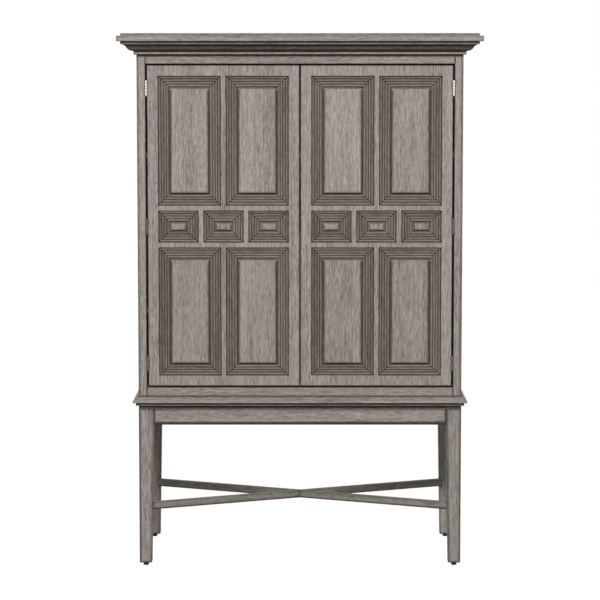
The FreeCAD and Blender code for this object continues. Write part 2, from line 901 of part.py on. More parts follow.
def reeded_stick(name, length):
    # Drawn along its own X, with its outer edge at Z zero and its reeds towards -Y.
    # Each reed has three flats. Both ends are mitred, so that four sticks meet round a field.
    valley = -size.stick_base
    crown = valley - size.reed_height
    shoulder = (size.reed_width - size.reed_crown_width) / 2
    stick_outline = [(0, 0)]
    for number in range(reed_count):
        start = number * size.reed_width
        stick_outline.append((valley, start))
        stick_outline.append((crown, start + shoulder))
        stick_outline.append((crown, start + shoulder + size.reed_crown_width))
    stick_outline.append((valley, stick_width))
    stick_outline.append((0, stick_width))
    owner = body(name)
    profile = sketch_on(owner, f"{name}_outline", "YZ_Plane", [stick_outline])
    pad(owner, f"{name}_run", profile, length, symmetric=True)
    beyond = size.cut_overrun
    half = length / 2
    for end in (-1, 1):
        mitre = [
            (end * (half + beyond), -beyond),
            (end * (half + beyond), stick_width + beyond),
            (end * (half - stick_width - beyond), stick_width + beyond),
        ]
        hand = "right" if end > 0 else "left"
        corner = sketch_on(owner, f"{name}_mitre_{hand}", "XZ_Plane", [mitre])
        pocket(owner, f"{name}_mitre_cut_{hand}", corner, symmetric=True)
    return owner


sticks = {
    kind: (
        reeded_stick(f"{kind}_frame_rail", frame_width(kind)),
        reeded_stick(f"{kind}_frame_stile", frame_heights[kind]),
    )
    for kind in frame_counts
}


def reeded_frames(kind, side):
    level_stick, upright_stick = sticks[kind]
    width = frame_width(kind)
    height = frame_heights[kind]
    seat = case_front + size.channel_depth
    pieces = []
    for number, (left, bottom) in enumerate(frame_places(kind), start=1):
        x = sides[side] * door_middle + left
        z = door_bottom + bottom
        name = f"{kind}_{side}_{number}"
        across = (0, 1, 0)
        pieces.append(copy_of(level_stick, f"{name}_low", x + width / 2, seat, z))
        pieces.append(copy_of(level_stick, f"{name}_high", x + width / 2, seat, z + height, 180, across))
        pieces.append(copy_of(upright_stick, f"{name}_near", x, seat, z + height / 2, 90, across))
        pieces.append(copy_of(upright_stick, f"{name}_far", x + width, seat, z + height / 2, 270, across))
    return group(f"{kind}_frames_{side}", pieces)


frame_sets = [reeded_frames(kind, side) for kind in frame_counts for side in sides]


# Butt hinges, drawn about their pin with the case on their right and the doors towards -X

knuckle_pitch = size.hinge_height / (case_knuckle_count + door_knuckle_count)
leaf_inner = size.door_side_gap / 2 - size.hinge_leaf_thickness
tab_back = size.hinge_proud + size.hinge_tab_clearance
leaf_back = size.hinge_proud + size.hinge_leaf_depth


def hinge_leaf(name, toward, first, count):
    # One leaf with its knuckles, on the side of the pin that is given.
    owner = body(name)
    half_height = size.hinge_height / 2
    near = toward * leaf_inner
    far = toward * size.door_side_gap / 2
    plate = sketch_on(
        owner, f"{name}_plate", "XY_Plane", [rectangle(near, tab_back, far, leaf_back)], level=-half_height)
    pad(owner, f"{name}_plate_pad", plate, size.hinge_height)
    knuckle_bottom = first * knuckle_pitch - half_height + size.knuckle_gap / 2
    knuckle_height = knuckle_pitch - size.knuckle_gap
    tab = sketch_on(
        owner, f"{name}_tab", "XY_Plane", [rectangle(near, 0, far, tab_back)], level=knuckle_bottom)
    tab_pad = pad(owner, f"{name}_tab_pad", tab, knuckle_height)
    eye = sketch_on(
        owner, f"{name}_eye", "XY_Plane", [even_loop(round_side_count, size.knuckle_radius)],
        level=knuckle_bottom)
    eye_pad = pad(owner, f"{name}_eye_pad", eye, knuckle_height)
    pattern(
        owner, f"{name}_knuckles", [tab_pad, eye_pad], "Z_Axis", (count - 1) * 2 * knuckle_pitch, count)
    bore = sketch_on(
        owner, f"{name}_bore", "XY_Plane", [bore_loop(size.pin_radius + size.running_clearance)])
    pocket(owner, f"{name}_bore_cut", bore, symmetric=True)
    return owner


case_leaf = hinge_leaf("case_leaf", 1, 0, case_knuckle_count)
door_leaf_plate = hinge_leaf("door_leaf_plate", -1, 1, door_knuckle_count)
pin_end = size.hinge_height / 2
hinge_pin = body("hinge_pin")
pin_stem = sketch_on(
    hinge_pin, "hinge_pin_stem", "XY_Plane", circles=[(0, 0, size.pin_radius)], level=-pin_end)
pad(hinge_pin, "hinge_pin_stem_pad", pin_stem, size.hinge_height)
for end, level in (("low", -(pin_end + size.pin_tip_height)), ("high", pin_end)):
    tip = sketch_on(
        hinge_pin, f"hinge_pin_tip_{end}", "XY_Plane", [even_loop(round_side_count, size.pin_tip_radius)],
        level=level)
    pad(hinge_pin, f"hinge_pin_tip_{end}_pad", tip, size.pin_tip_height)
hinge_x = half_width - size.stile_width - size.door_side_gap / 2
hinge_y = case_front - size.hinge_proud
door_end = door_bottom + door_height
hinge_levels = {
    "low": door_bottom + size.hinge_end_distance,
    "middle": door_bottom + door_height / 2,
    "high": door_end - size.hinge_end_distance,
}
case_leaves = []
hinge_pins = []
door_leaf_sets = []
for side in sides:
    turn = 0 if side == "right" else 180
    door_leaves_here = []
    for level, z in hinge_levels.items():
        spot = (sides[side] * hinge_x, hinge_y, z, turn, (0, 1, 0))
        case_leaves.append(copy_of(case_leaf, f"case_leaf_{side}_{level}", *spot))
        hinge_pins.append(copy_of(hinge_pin, f"hinge_pin_{side}_{level}", *spot))
        door_leaves_here.append(copy_of(door_leaf_plate, f"door_leaf_{side}_{level}", *spot))
    door_leaf_sets.append(group(f"hinge_door_leaves_{side}", door_leaves_here))
hinge_case_leaves = group("hinge_case_leaves", case_leaves)
hinge_pin_set = group("hinge_pins", hinge_pins)


# Push latches: each plunger rests on its door's strike plate and follows the door out

latch_front = frame_back + size.latch_standoff
latch_axis = opening_top - size.latch_height / 2
strike_back = frame_back + size.strike_thickness
plunger_front = strike_back + size.seat_clearance
bore_radius = size.plunger_radius + size.running_clearance
bore_length = plunger_front + size.plunger_length + size.plunger_radius - latch_front
housings = []
plungers = []
strikes = []
for side in sides:
    x = sides[side] * size.latch_offset
    case = board(
        f"latch_case_{side}", x - size.latch_width / 2, latch_front, opening_top - size.latch_height,
        size.latch_width, size.latch_length, size.latch_height)
    bore = rod(
        f"latch_bore_{side}", x, latch_front + bore_length, latch_axis, bore_radius,
        bore_length + size.cut_overrun, 90)
    housings.append(cut(f"latch_housing_{side}", case, [bore]))
    plungers.append(rod(
        f"latch_plunger_{side}", x, plunger_front + size.plunger_length, latch_axis,
        size.plunger_radius, size.plunger_length, 90))
    strikes.append(board(
        f"strike_plate_{side}", x - size.strike_width / 2, frame_back, door_end - size.strike_height,
        size.strike_width, size.strike_thickness, size.strike_height))
latch_housings = group("latch_housings", housings)


# Checks and export

nodes = [
    *legs.values(), *aprons, *stretchers, corner_blocks, base_bearers, foot_inserts, *feet.values(),
    *side_panels, floor_panel, ceiling_panel, back_panel, back_top_rail,
    *stiles, top_rail, bottom_rail, top_board, top_cleats, *cornices, *base_mouldings,
    middle_shelf, lower_divider, upper_shelf, lower_shelf, shelf_battens, stemware_rails,
    *wine_dividers, door_stop,
    *door_leaves, *frame_sets, hinge_case_leaves, *door_leaf_sets, hinge_pin_set,
    latch_housings, *plungers, *strikes,
]

doc.recompute()
for thing in doc.Objects:
    if "Invalid" in thing.State or "Error" in thing.State:
        raise RuntimeError(f"{thing.Label}: {thing.State}")
for node in nodes:
    if node.Shape.isNull() or not node.Shape.isValid():
        raise RuntimeError(f"{node.Label}: bad shape")

os.makedirs("parts", exist_ok=True)
for node in nodes:
    node.Shape.exportStep(f"parts/{node.Label}.step")
    print(node.Label, len(node.Shape.Solids), round(node.Shape.Volume))
print(len(nodes), "nodes")
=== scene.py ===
import itertools
import json
import math
from functools import partial

import bmesh
import bpy
from mathutils import Matrix, Vector


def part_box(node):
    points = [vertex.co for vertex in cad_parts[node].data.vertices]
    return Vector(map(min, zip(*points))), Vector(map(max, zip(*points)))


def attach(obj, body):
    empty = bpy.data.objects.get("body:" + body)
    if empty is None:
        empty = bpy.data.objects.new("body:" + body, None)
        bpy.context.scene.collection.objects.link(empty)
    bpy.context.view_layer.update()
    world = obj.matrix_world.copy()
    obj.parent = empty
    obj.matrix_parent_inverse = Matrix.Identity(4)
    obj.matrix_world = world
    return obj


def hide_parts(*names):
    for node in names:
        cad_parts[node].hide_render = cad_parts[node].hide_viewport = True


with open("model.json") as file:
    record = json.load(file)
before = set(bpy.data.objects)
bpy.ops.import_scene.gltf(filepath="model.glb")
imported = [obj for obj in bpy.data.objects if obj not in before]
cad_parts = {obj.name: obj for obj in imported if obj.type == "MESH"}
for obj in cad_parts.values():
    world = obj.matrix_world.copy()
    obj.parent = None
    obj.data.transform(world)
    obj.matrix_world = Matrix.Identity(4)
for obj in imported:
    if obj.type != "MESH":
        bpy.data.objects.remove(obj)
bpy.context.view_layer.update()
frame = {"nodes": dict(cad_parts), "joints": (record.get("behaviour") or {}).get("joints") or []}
nodes = frame["nodes"]
jointSpots = {joint["name"]: joint.get("pos_m") for joint in frame["joints"]}
sideSigns = {"left": -1, "right": 1}
mm = 0.001
xAxis, yAxis, zAxis = Vector((1, 0, 0)), Vector((0, 1, 0)), Vector((0, 0, 1))


# Node trees

class Wire:
    # One socket of a node tree. Arithmetic on wires adds Math nodes to the tree.

    def __init__(self, tree, socket=None):
        self.tree = tree
        self.socket = socket

    def node(self, kind, settings=None, sockets=None, output=0):
        # Adds a node, with its settings first, then its sockets' values or links.
        made = self.tree.nodes.new(kind)
        for setting, value in (settings or {}).items():
            if setting == "stops":
                fillRamp(made.color_ramp, value)
            else:
                setattr(made, setting, value)
        for place, value in (sockets or {}).items():
            if isinstance(value, Wire):
                self.tree.links.new(value.socket, made.inputs[place])
            else:
                made.inputs[place].default_value = value
        return Wire(self.tree, made.outputs[output] if made.outputs else None)

    def math(self, operation, *others):
        # This number through a Math node, with the others that the operation takes.
        sockets = dict(enumerate((self, *others)))
        return self.node("ShaderNodeMath", {"operation": operation}, sockets)

    def __add__(self, other):
        return self.math("ADD", other)

    def __sub__(self, other):
        return self.math("SUBTRACT", other)

    def __rsub__(self, other):
        return self.node("ShaderNodeMath", {"operation": "SUBTRACT"}, {0: other, 1: self})

    def __mul__(self, other):
        return self.math("MULTIPLY", other)

    def __truediv__(self, other):
        return self.math("DIVIDE", other)

    def __neg__(self):
        return self * -1

    def __abs__(self):
        return self.math("ABSOLUTE")

    __radd__ = __add__
    __rmul__ = __mul__

    def atLeast(self, other):
        return self.math("MAXIMUM", other)

    def atMost(self, other):
        return self.math("MINIMUM", other)

    def between(self, low, high):
        # 0 where this is at the low value and 1 where it is at the high one.
        sockets = {"Value": self, "From Min": low, "From Max": high}
        return self.node("ShaderNodeMapRange", {"clamp": True}, sockets)

    def mix(self, first, second):
        # A colour from the first to the second by this factor.
        return self.node("ShaderNodeMix", {"data_type": "RGBA"}, {0: self, 6: first, 7: second}, 2)

    def vector(self, x=0.0, y=0.0, z=0.0):
        return self.node("ShaderNodeCombineXYZ", {}, {"X": x, "Y": y, "Z": z})

    def along(self, axis):
        # One number of this vector.
        return self.node("ShaderNodeSeparateXYZ", {}, {"Vector": self}, axis)

    def moved(self, offset):
        return self.node("ShaderNodeVectorMath", {"operation": "ADD"}, {0: self, 1: offset})

    def stretched(self, factors):
        return self.node("ShaderNodeVectorMath", {"operation": "MULTIPLY"}, {0: self, 1: factors})

    def noise(self, scale=1, detail=2, roughness=0.5):
        sockets = {"Vector": self, "Scale": scale, "Detail": detail, "Roughness": roughness}
        return self.node("ShaderNodeTexNoise", {}, sockets, "Fac")

    def attribute(self, name, output="Fac"):
        return self.node("ShaderNodeAttribute", {"attribute_name": name}, {}, output)

    def objectPlace(self):
        return self.node("ShaderNodeTexCoord", {}, {}, "Object")

    def named(self, label, kind="FLOAT"):
        # A named attribute, inside a geometry tree.
        return self.node("GeometryNodeInputNamedAttribute", {"data_type": kind}, {"Name": label})

    def stored(self, label, value, kind="FLOAT", domain="POINT"):
        # This geometry with a named attribute on it.
        return self.node("GeometryNodeStoreNamedAttribute", {"data_type": kind, "domain": domain}, {
            "Geometry": self, "Name": label, "Value": value})

    def placed(self, position):
        # This geometry with its points put at a position.
        return self.node("GeometryNodeSetPosition", {}, {"Geometry": self, "Position": position})


def fillRamp(ramp, stops):
    while len(ramp.elements) < len(stops):
        ramp.elements.new(1)
    for element, (place, colour) in zip(ramp.elements, stops):
        element.position = place
        element.color = colour


def paint(red, green, blue):
    # A colour in steps of 0 to 255, as the linear values that a shader takes.
    def linear(step):
        share = step / 255
        return share / 12.92 if share <= 0.04045 else ((share + 0.055) / 1.055) ** 2.4
    return (linear(red), linear(green), linear(blue), 1)


def startMaterial(name):
    material = bpy.data.materials.new(name)
    material.use_nodes = True
    material.node_tree.nodes.clear()
    return material, Wire(material.node_tree)


def closeMaterial(start, relief, height, sockets):
    # A finish ends in a Bump node, a Principled shader and the output.
    strength, depth = relief
    bump = start.node("ShaderNodeBump", {}, {"Strength": strength, "Distance": depth, "Height": height})
    shader = start.node("ShaderNodeBsdfPrincipled", {}, dict(sockets, Normal=bump))
    start.node("ShaderNodeOutputMaterial", {}, {"Surface": shader})


# Finishes

pinLow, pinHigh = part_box("hinge_pins")
pinMiddle = (pinLow.z + pinHigh.z) / 2
pinSide = jointSpots["right_door_hinge"][0]
pinReach = 25 * mm  # from the middle of a hinge to an end of its pin
hingeSpacing = (pinHigh.z - pinLow.z) / 2 - pinReach
# where the painted shade beside the hinges lies
hingeShadeLook = {
    "aside": (7.5 * mm, 5.5 * mm),  # from the pin's axis: none at the first and full at the second
    "pastEnds": (2.5 * mm, 0),
    "behindFront": (12 * mm, 6 * mm),
}


def hingeShade(start):
    # Painted shade beside the hinge barrels: 1 on the front of the wood close beside the hinges and 0
    # elsewhere.
    place = start.objectPlace()
    across, depth, level = (place.along(axis) for axis in "XYZ")
    aside = abs(abs(across) - pinSide)
    fromMiddle = abs(level - pinMiddle)
    away = fromMiddle.atMost(abs(fromMiddle - hingeSpacing))
    beside = aside.between(*hingeShadeLook["aside"])
    beside = beside * away.between(*(pinReach + past for past in hingeShadeLook["pastEnds"]))
    return beside * depth.between(*(pinLow.y + behind for behind in hingeShadeLook["behindFront"]))


oakLook = {
    "deep": paint(118, 110, 104),
    "middle": paint(154, 147, 141),
    "pale": paint(178, 170, 164),
    "toneStops": {"deep": 0.22, "middle": 0.5, "pale": 0.78},
    "bandSize": (0.9, 17, 17),  # how fine each pattern is: along the grain, across it and through the board
    "streakSize": (9, 170, 170),
    "mottleSize": (40, 310, 310),
    "poreSize": (90, 1900, 1900),
    "bandShare": 0.5,
    "streakShare": 0.8,
    "mottleShare": 1.3,
    "driftSize": (2.5, 9, 9),
    "drift": (0, 0.004, 0.003),
    "pore": paint(92, 84, 78),
    "poreLimits": (0.44, 0.34),
    "poreAmount": 0.55,
    "lime": paint(194, 187, 182),
    "limeLimits": (0.6, 0.7),
    "limeAmount": 0.4,
    # the colour of the glaze and of the painted shade
    "glaze": paint(48, 36, 23),
    "glazeAndShadeStrength": 0.94,
    # how dark the painted shade beside the hinges is
    "hingeShade": 0.5,
    "roughness": 0.62,
    "relief": (0.6, 0.14 * mm),
}
glazedLook = dict(
    oakLook,
    deep=paint(105, 96, 86),
    middle=paint(130, 122, 112),
    pale=paint(146, 139, 130),
    pore=paint(79, 70, 60),
    lime=paint(156, 149, 140),
    # the colour of the glaze and painted shade on the reeded frames
    glaze=paint(42, 32, 20),
    glazeAndShadeStrength=0.96,
)
insideLook = dict(
    oakLook,
    deep=paint(122, 113, 105),
    middle=paint(148, 140, 132),
    pale=paint(166, 158, 150),
)


def oakMaterial(name, look):
    # Limed grey oak. "grain" places each point in its own plank, with X along the grain.
    material, start = startMaterial(name)
    grain = start.attribute("grain", "Vector")
    drift = grain.stretched(look["driftSize"]).noise() - 0.5
    wood = grain.moved(start.vector(*(drift * reach if reach else 0 for reach in look["drift"])))
    bands = wood.stretched(look["bandSize"]).noise()
    streaks = wood.stretched(look["streakSize"]).noise(detail=4, roughness=0.6)
    mottle = wood.stretched(look["mottleSize"]).noise(detail=3, roughness=0.6)
    pores = wood.stretched(look["poreSize"]).noise()
    tone = 0.5 + (bands - 0.5) * look["bandShare"] + (streaks - 0.5) * look["streakShare"]
    tone = tone + (mottle - 0.5) * look["mottleShare"]
    stops = [(place, look[colour]) for colour, place in look["toneStops"].items()]
    base = start.node("ShaderNodeValToRGB", {"stops": stops}, {"Fac": tone})
    darkPores = pores.between(*look["poreLimits"])
    limedPores = pores.between(*look["limeLimits"])
    coloured = (darkPores * look["poreAmount"]).mix(base, look["pore"])
    coloured = (limedPores * look["limeAmount"]).mix(coloured, look["lime"])
    # The glaze attribute holds glaze and painted shade, and the painted shade beside the hinges is laid over
    # it.
    glaze = start.attribute("glaze").atLeast(hingeShade(start) * look["hingeShade"])
    darkening = glaze * look["glazeAndShadeStrength"] * (1.3 - 0.5 * mottle)  # the glaze and painted shade lie unevenly
    closeMaterial(start, look["relief"], streaks * 0.35 + mottle * 0.3 - darkPores * 0.6, {
        "Base Color": darkening.between(0, 1).mix(coloured, look["glaze"]),
        "Roughness": look["roughness"] + (mottle - 0.5) * 0.16 + darkPores * 0.12,
        "Specular IOR Level": 0.25,
    })
    return material


metalLooks = {
    "nickel": {
        "bright": paint(240, 238, 234),
        "dull": paint(214, 210, 205),
        # the dark of tarnish and of the painted shade on the hinges
        "tarnish": paint(96, 92, 87),
        "roughness": 0.34,
        "brush": (900, 900, 40),
    },
    "steel": {
        "bright": paint(168, 168, 166),
        "dull": paint(112, 111, 108),
        "tarnish": paint(96, 92, 87),
        "roughness": 0.42,
        "brush": (500, 500, 500),
    },
}


def metalMaterial(name, look):
    # Worn metal: fine brush marks, a duller film here and there, and tarnish and painted shade where its
    # attribute marks it; where the attribute is low on the hinge barrels, the bright colour stands as a
    # painted highlight.
    material, start = startMaterial(name)
    place = start.objectPlace()
    brush = place.stretched(look["brush"]).noise()
    film = place.noise(scale=160, detail=3)
    shade = film.between(0.42, 0.62)
    tarnish = start.attribute("tarnish") * (1.15 - 0.3 * film)
    colour = (shade * 0.8).mix(look["bright"], look["dull"])
    closeMaterial(start, (0.35, 0.05 * mm), brush, {
        "Base Color": tarnish.between(0, 1).mix(colour, look["tarnish"]),
        "Metallic": 0.95 - shade * 0.15,
        "Roughness": look["roughness"] + shade * 0.12 + (brush - 0.5) * 0.1,
    })
    return material


darkLooks = {
    "plastic": {"colour": paint(34, 33, 32), "worn": paint(62, 60, 58), "roughness": 0.48, "grit": 1400},
    "rubber": {"colour": paint(22, 21, 20), "worn": paint(48, 46, 44), "roughness": 0.74, "grit": 700},
}


def darkMaterial(name, look):
    # Moulded black plastic or rubber: a fine grit, with a few pale scuffs.
    material, start = startMaterial(name)
    place = start.objectPlace()
    grit = place.noise(scale=look["grit"])
    scuffs = place.noise(scale=90, detail=4, roughness=0.7).between(0.56, 0.72)
    closeMaterial(start, (0.4, 0.1 * mm), grit, {
        "Base Color": (scuffs * 0.6).mix(look["colour"], look["worn"]),
        "Roughness": look["roughness"] + (grit - 0.5) * 0.2,
    })
    return material


greyOak = oakMaterial("greyOak", oakLook)
glazedOak = oakMaterial("glazedOak", glazedLook)
insideOak = oakMaterial("insideOak", insideLook)
nickelPlate = metalMaterial("nickelPlate", metalLooks["nickel"])
zincSteel = metalMaterial("zincSteel", metalLooks["steel"])
blackPlastic = darkMaterial("blackPlastic", darkLooks["plastic"])
blackRubber = darkMaterial("blackRubber", darkLooks["rubber"])
print("finishes ready:", len(bpy.data.materials))


# Meshes

def linkedObject(name, data):
    holder = bpy.data.objects.new(name, data)
    bpy.context.scene.collection.objects.link(holder)
    return holder


def evaluatedMesh(holder, name):
    # The holder's mesh with its modifiers in it. The holder goes.
    bpy.context.view_layer.update()
    depsgraph = bpy.context.evaluated_depsgraph_get()
    mesh = bpy.data.meshes.new_from_object(holder.evaluated_get(depsgraph))
    mesh.name = name
    holder.modifiers.clear()
    bpy.data.objects.remove(holder)
    return mesh


def openShape(mesh):
    shape = bmesh.new()
    shape.from_mesh(mesh)
    return shape


def closeShape(shape, mesh):
    # Writes a shape into a mesh, or into a new one of this name.
    if isinstance(mesh, str):
        mesh = bpy.data.meshes.new(mesh)
    shape.to_mesh(mesh)
    shape.free()
    return mesh


def addPiece(name, mesh, body, material):
    mesh.materials.clear()
    mesh.materials.append(material)
    piece = linkedObject(name, mesh)
    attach(piece, body)
    return piece


def finishNode(node, mesh, body, material):
    # Adds the piece that stands for a node of the frame.
    piece = addPiece(f"{node}_finished", mesh, body, material)
    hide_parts(node)


def writeAttribute(mesh, name, values, kind="FLOAT"):
    # One number, or one vector, for each vertex.
    attribute = mesh.attributes.new(name, kind, "POINT")
    if kind == "FLOAT_VECTOR":
        attribute.data.foreach_set("vector", [number for vector in values for number in vector])
    else:
        attribute.data.foreach_set("value", values)


def mergedCopy(node):
    # The node's solids with their loose triangles joined and their flat faces whole.
    shape = openShape(nodes[node].data)
    bmesh.ops.remove_doubles(shape, verts=shape.verts, dist=0.01 * mm)
    bmesh.ops.dissolve_limit(
        shape, angle_limit=math.radians(1), verts=shape.verts, edges=shape.edges)
    return shape


def cutAcross(shape, place, axis, parts=None):
    # Adds edges where a plane meets the shape, or only where it meets the parts.
    parts = parts or shape.verts[:] + shape.edges[:] + shape.faces[:]
    bmesh.ops.bisect_plane(shape, geom=parts, plane_co=place, plane_no=axis, dist=0.001 * mm)


def paintFaces(faces, layer, amount):
    for face in faces:
        for vertex in face.verts:
            vertex[layer] = amount


easing = {
    "width": 1.1 * mm,
    "segments": 3,
    "sharpAngle": math.radians(32),
    "shortEdge": 3.0,  # edges shorter than this many widths stay sharp
    "rim": 3.2 * mm,
    "rimGlazeAndShade": 0.5,
    "edgeRoom": 0.3,  # how much a face must have left inside its rim, in rims
    "areaRoom": 1.3,
    "roundFace": 5,  # faces without a rim that are wider than this many rims get the round glaze
    "roundGlaze": 0.2,
    "fadeGain": 1.6,
}


def staysOpen(face, rim):
    # Whether a face still has all its edges once its rim is cut off.
    cuts = {}
    for loop in face.loops:
        cut = rim / math.tan(max(loop.calc_angle(), 0.1) / 2)
        cuts[loop.vert] = cut if loop.is_convex else -cut
    spare = min(
        loop.edge.calc_length() - cuts[loop.vert] - cuts[loop.link_loop_next.vert] for loop in face.loops)
    wide = face.calc_area() > easing["areaRoom"] * rim * face.calc_perimeter()
    return wide and spare > easing["edgeRoom"] * rim


def glazeAndShadeRims(mesh, lines=(), plain=0.0, rim=easing["rim"], rimGlazeAndShade=easing["rimGlazeAndShade"]):
    # Writes the "glaze" attribute, glaze and painted shade: dark at the edges of each large flat face and
    # plain inside it.
    # Each line is (axis, level, end, amount), for painted shade that fades from one level to the other.
    shape = openShape(mesh)
    glaze = shape.verts.layers.float.new("glaze")
    flats = [face for face in shape.faces if staysOpen(face, rim)]
    roundArea = (easing["roundFace"] * rim) ** 2
    rounds = [face for face in shape.faces if face not in flats and face.calc_area() > roundArea]
    paintFaces(shape.faces, glaze, plain + rimGlazeAndShade)
    paintFaces(rounds, glaze, plain + easing["roundGlaze"])
    bmesh.ops.inset_individual(shape, faces=flats, thickness=rim, use_even_offset=True)
    paintFaces(flats, glaze, plain)
    for axis, level, end, amount in lines:
        for share in (0, 0.5, 1):
            cutAcross(shape, axis * (level + (end - level) * share), axis)
        for vertex in shape.verts:
            share = (vertex.co.dot(axis) - end) / (level - end)
            if 0 < share < 1.01:
                vertex[glaze] = max(vertex[glaze], amount * min(1, easing["fadeGain"] * share))
    closeShape(shape, mesh)


def easedMesh(node, width=easing["width"], paintGlazeAndShade=glazeAndShadeRims):
    # Rounds a node's outer arrises and leaves its inner corners sharp, with dark glaze and painted shade at
    # the edges.
    name = f"{node}_mesh"
    shape = mergedCopy(node)
    weights = shape.edges.layers.float.new("bevel_weight_edge")
    for edge in shape.edges:
        bent = len(edge.link_faces) == 2 and edge.calc_face_angle() > easing["sharpAngle"]
        edge.smooth = not bent
        if bent and edge.is_convex and edge.calc_length() > easing["shortEdge"] * width:
            edge[weights] = 1
            edge.smooth = True
    for face in shape.faces:
        face.smooth = True
    holder = linkedObject(name, closeShape(shape, name))
    bevel = holder.modifiers.new("easing", "BEVEL")
    bevel.limit_method = "WEIGHT"
    bevel.width = width
    bevel.segments = easing["segments"]
    rounded = evaluatedMesh(holder, name)
    paintGlazeAndShade(rounded)
    holder = linkedObject(name, rounded)
    shading = holder.modifiers.new("shading", "WEIGHTED_NORMAL")
    shading.keep_sharp = True
    return evaluatedMesh(holder, name)


plankNumbers = itertools.count(1)
plankSteps = (0.731, 0.377, 0.193)
logSize = (5, 3, 2)


def plankOffset():
    # Each plank is cut from its own place in the wood.
    number = next(plankNumbers)
    return Vector([number * step % size for step, size in zip(plankSteps, logSize)])


def islands(mesh):
    # The loose parts of a mesh, as lists of vertex numbers.
    shape = openShape(mesh)
    shape.verts.ensure_lookup_table()
    seen = set()
    found = []
    for first in shape.verts:
        if first.index in seen:
            continue
        seen.add(first.index)
        part = [first.index]
        waiting = [first]
        while waiting:
            for edge in waiting.pop().link_edges:
                for vertex in edge.verts:
                    if vertex.index not in seen:
                        seen.add(vertex.index)
                        part.append(vertex.index)
                        waiting.append(vertex)
        found.append(part)
    shape.free()
    return found


def middleOf(mesh, part):
    return sum((mesh.vertices[number].co for number in part), Vector()) / len(part)


def markGrain(mesh, along, across):
    # Writes the "grain" attribute. The direction is a vector, or a function of a part's middle.
    places = [(0, 0, 0)] * len(mesh.vertices)
    for part in islands(mesh):
        run = Vector(along(middleOf(mesh, part)) if callable(along) else along).normalized()
        side = (across - run * across.dot(run)).normalized()
        through = run.cross(side)
        offset = plankOffset()
        for number in part:
            spot = mesh.vertices[number].co
            places[number] = [spot.dot(axis) + away for axis, away in zip((run, side, through), offset)]
    writeAttribute(mesh, "grain", places, "FLOAT_VECTOR")


# Planks that keep their solid's shape, with eased edges

caseBox = [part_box("stile_left")[0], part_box("side_panel_right")[1]]
doorBox = [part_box("door_left")[0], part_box("door_right")[1]]
standTop, baseTop = (corner.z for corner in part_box("base_moulding_front"))
standMiddle = sum(corner.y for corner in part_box("corner_blocks")) / 2
apronLow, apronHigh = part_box("apron_front")
barLow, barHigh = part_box("stretcher_rising_right")
corners = [f"{end}_{side}" for end in ("front", "back") for side in sideSigns]


def boxRun(node, y=0, z=0):
    # The direction of a bar that runs from corner to corner of its own box.
    low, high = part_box(node)
    return (high - low) * Vector((1, y, z))


def blockRun(middle):
    # A corner block's grain runs across its corner of the stand.
    return Vector((1, -math.copysign(1, middle.x * (middle.y - standMiddle)), 0))


def fade(axis, level, run, amount):
    # Painted shade, with glaze, that is darkest at a level and gone after a run, in millimetres.
    return (axis, level, level + run * mm, amount)


def fadeBothWays(axis, level, run, amount):
    return [fade(axis, level, way * run, amount) for way in (1, -1)]


def fadeBothSides(x, *runs):
    # Each run and amount, on the left and then on the right of the cabinet.
    return [
        fade(xAxis, sign * x, sign * run, amount)
        for sign in sideSigns.values() for run, amount in runs
    ]
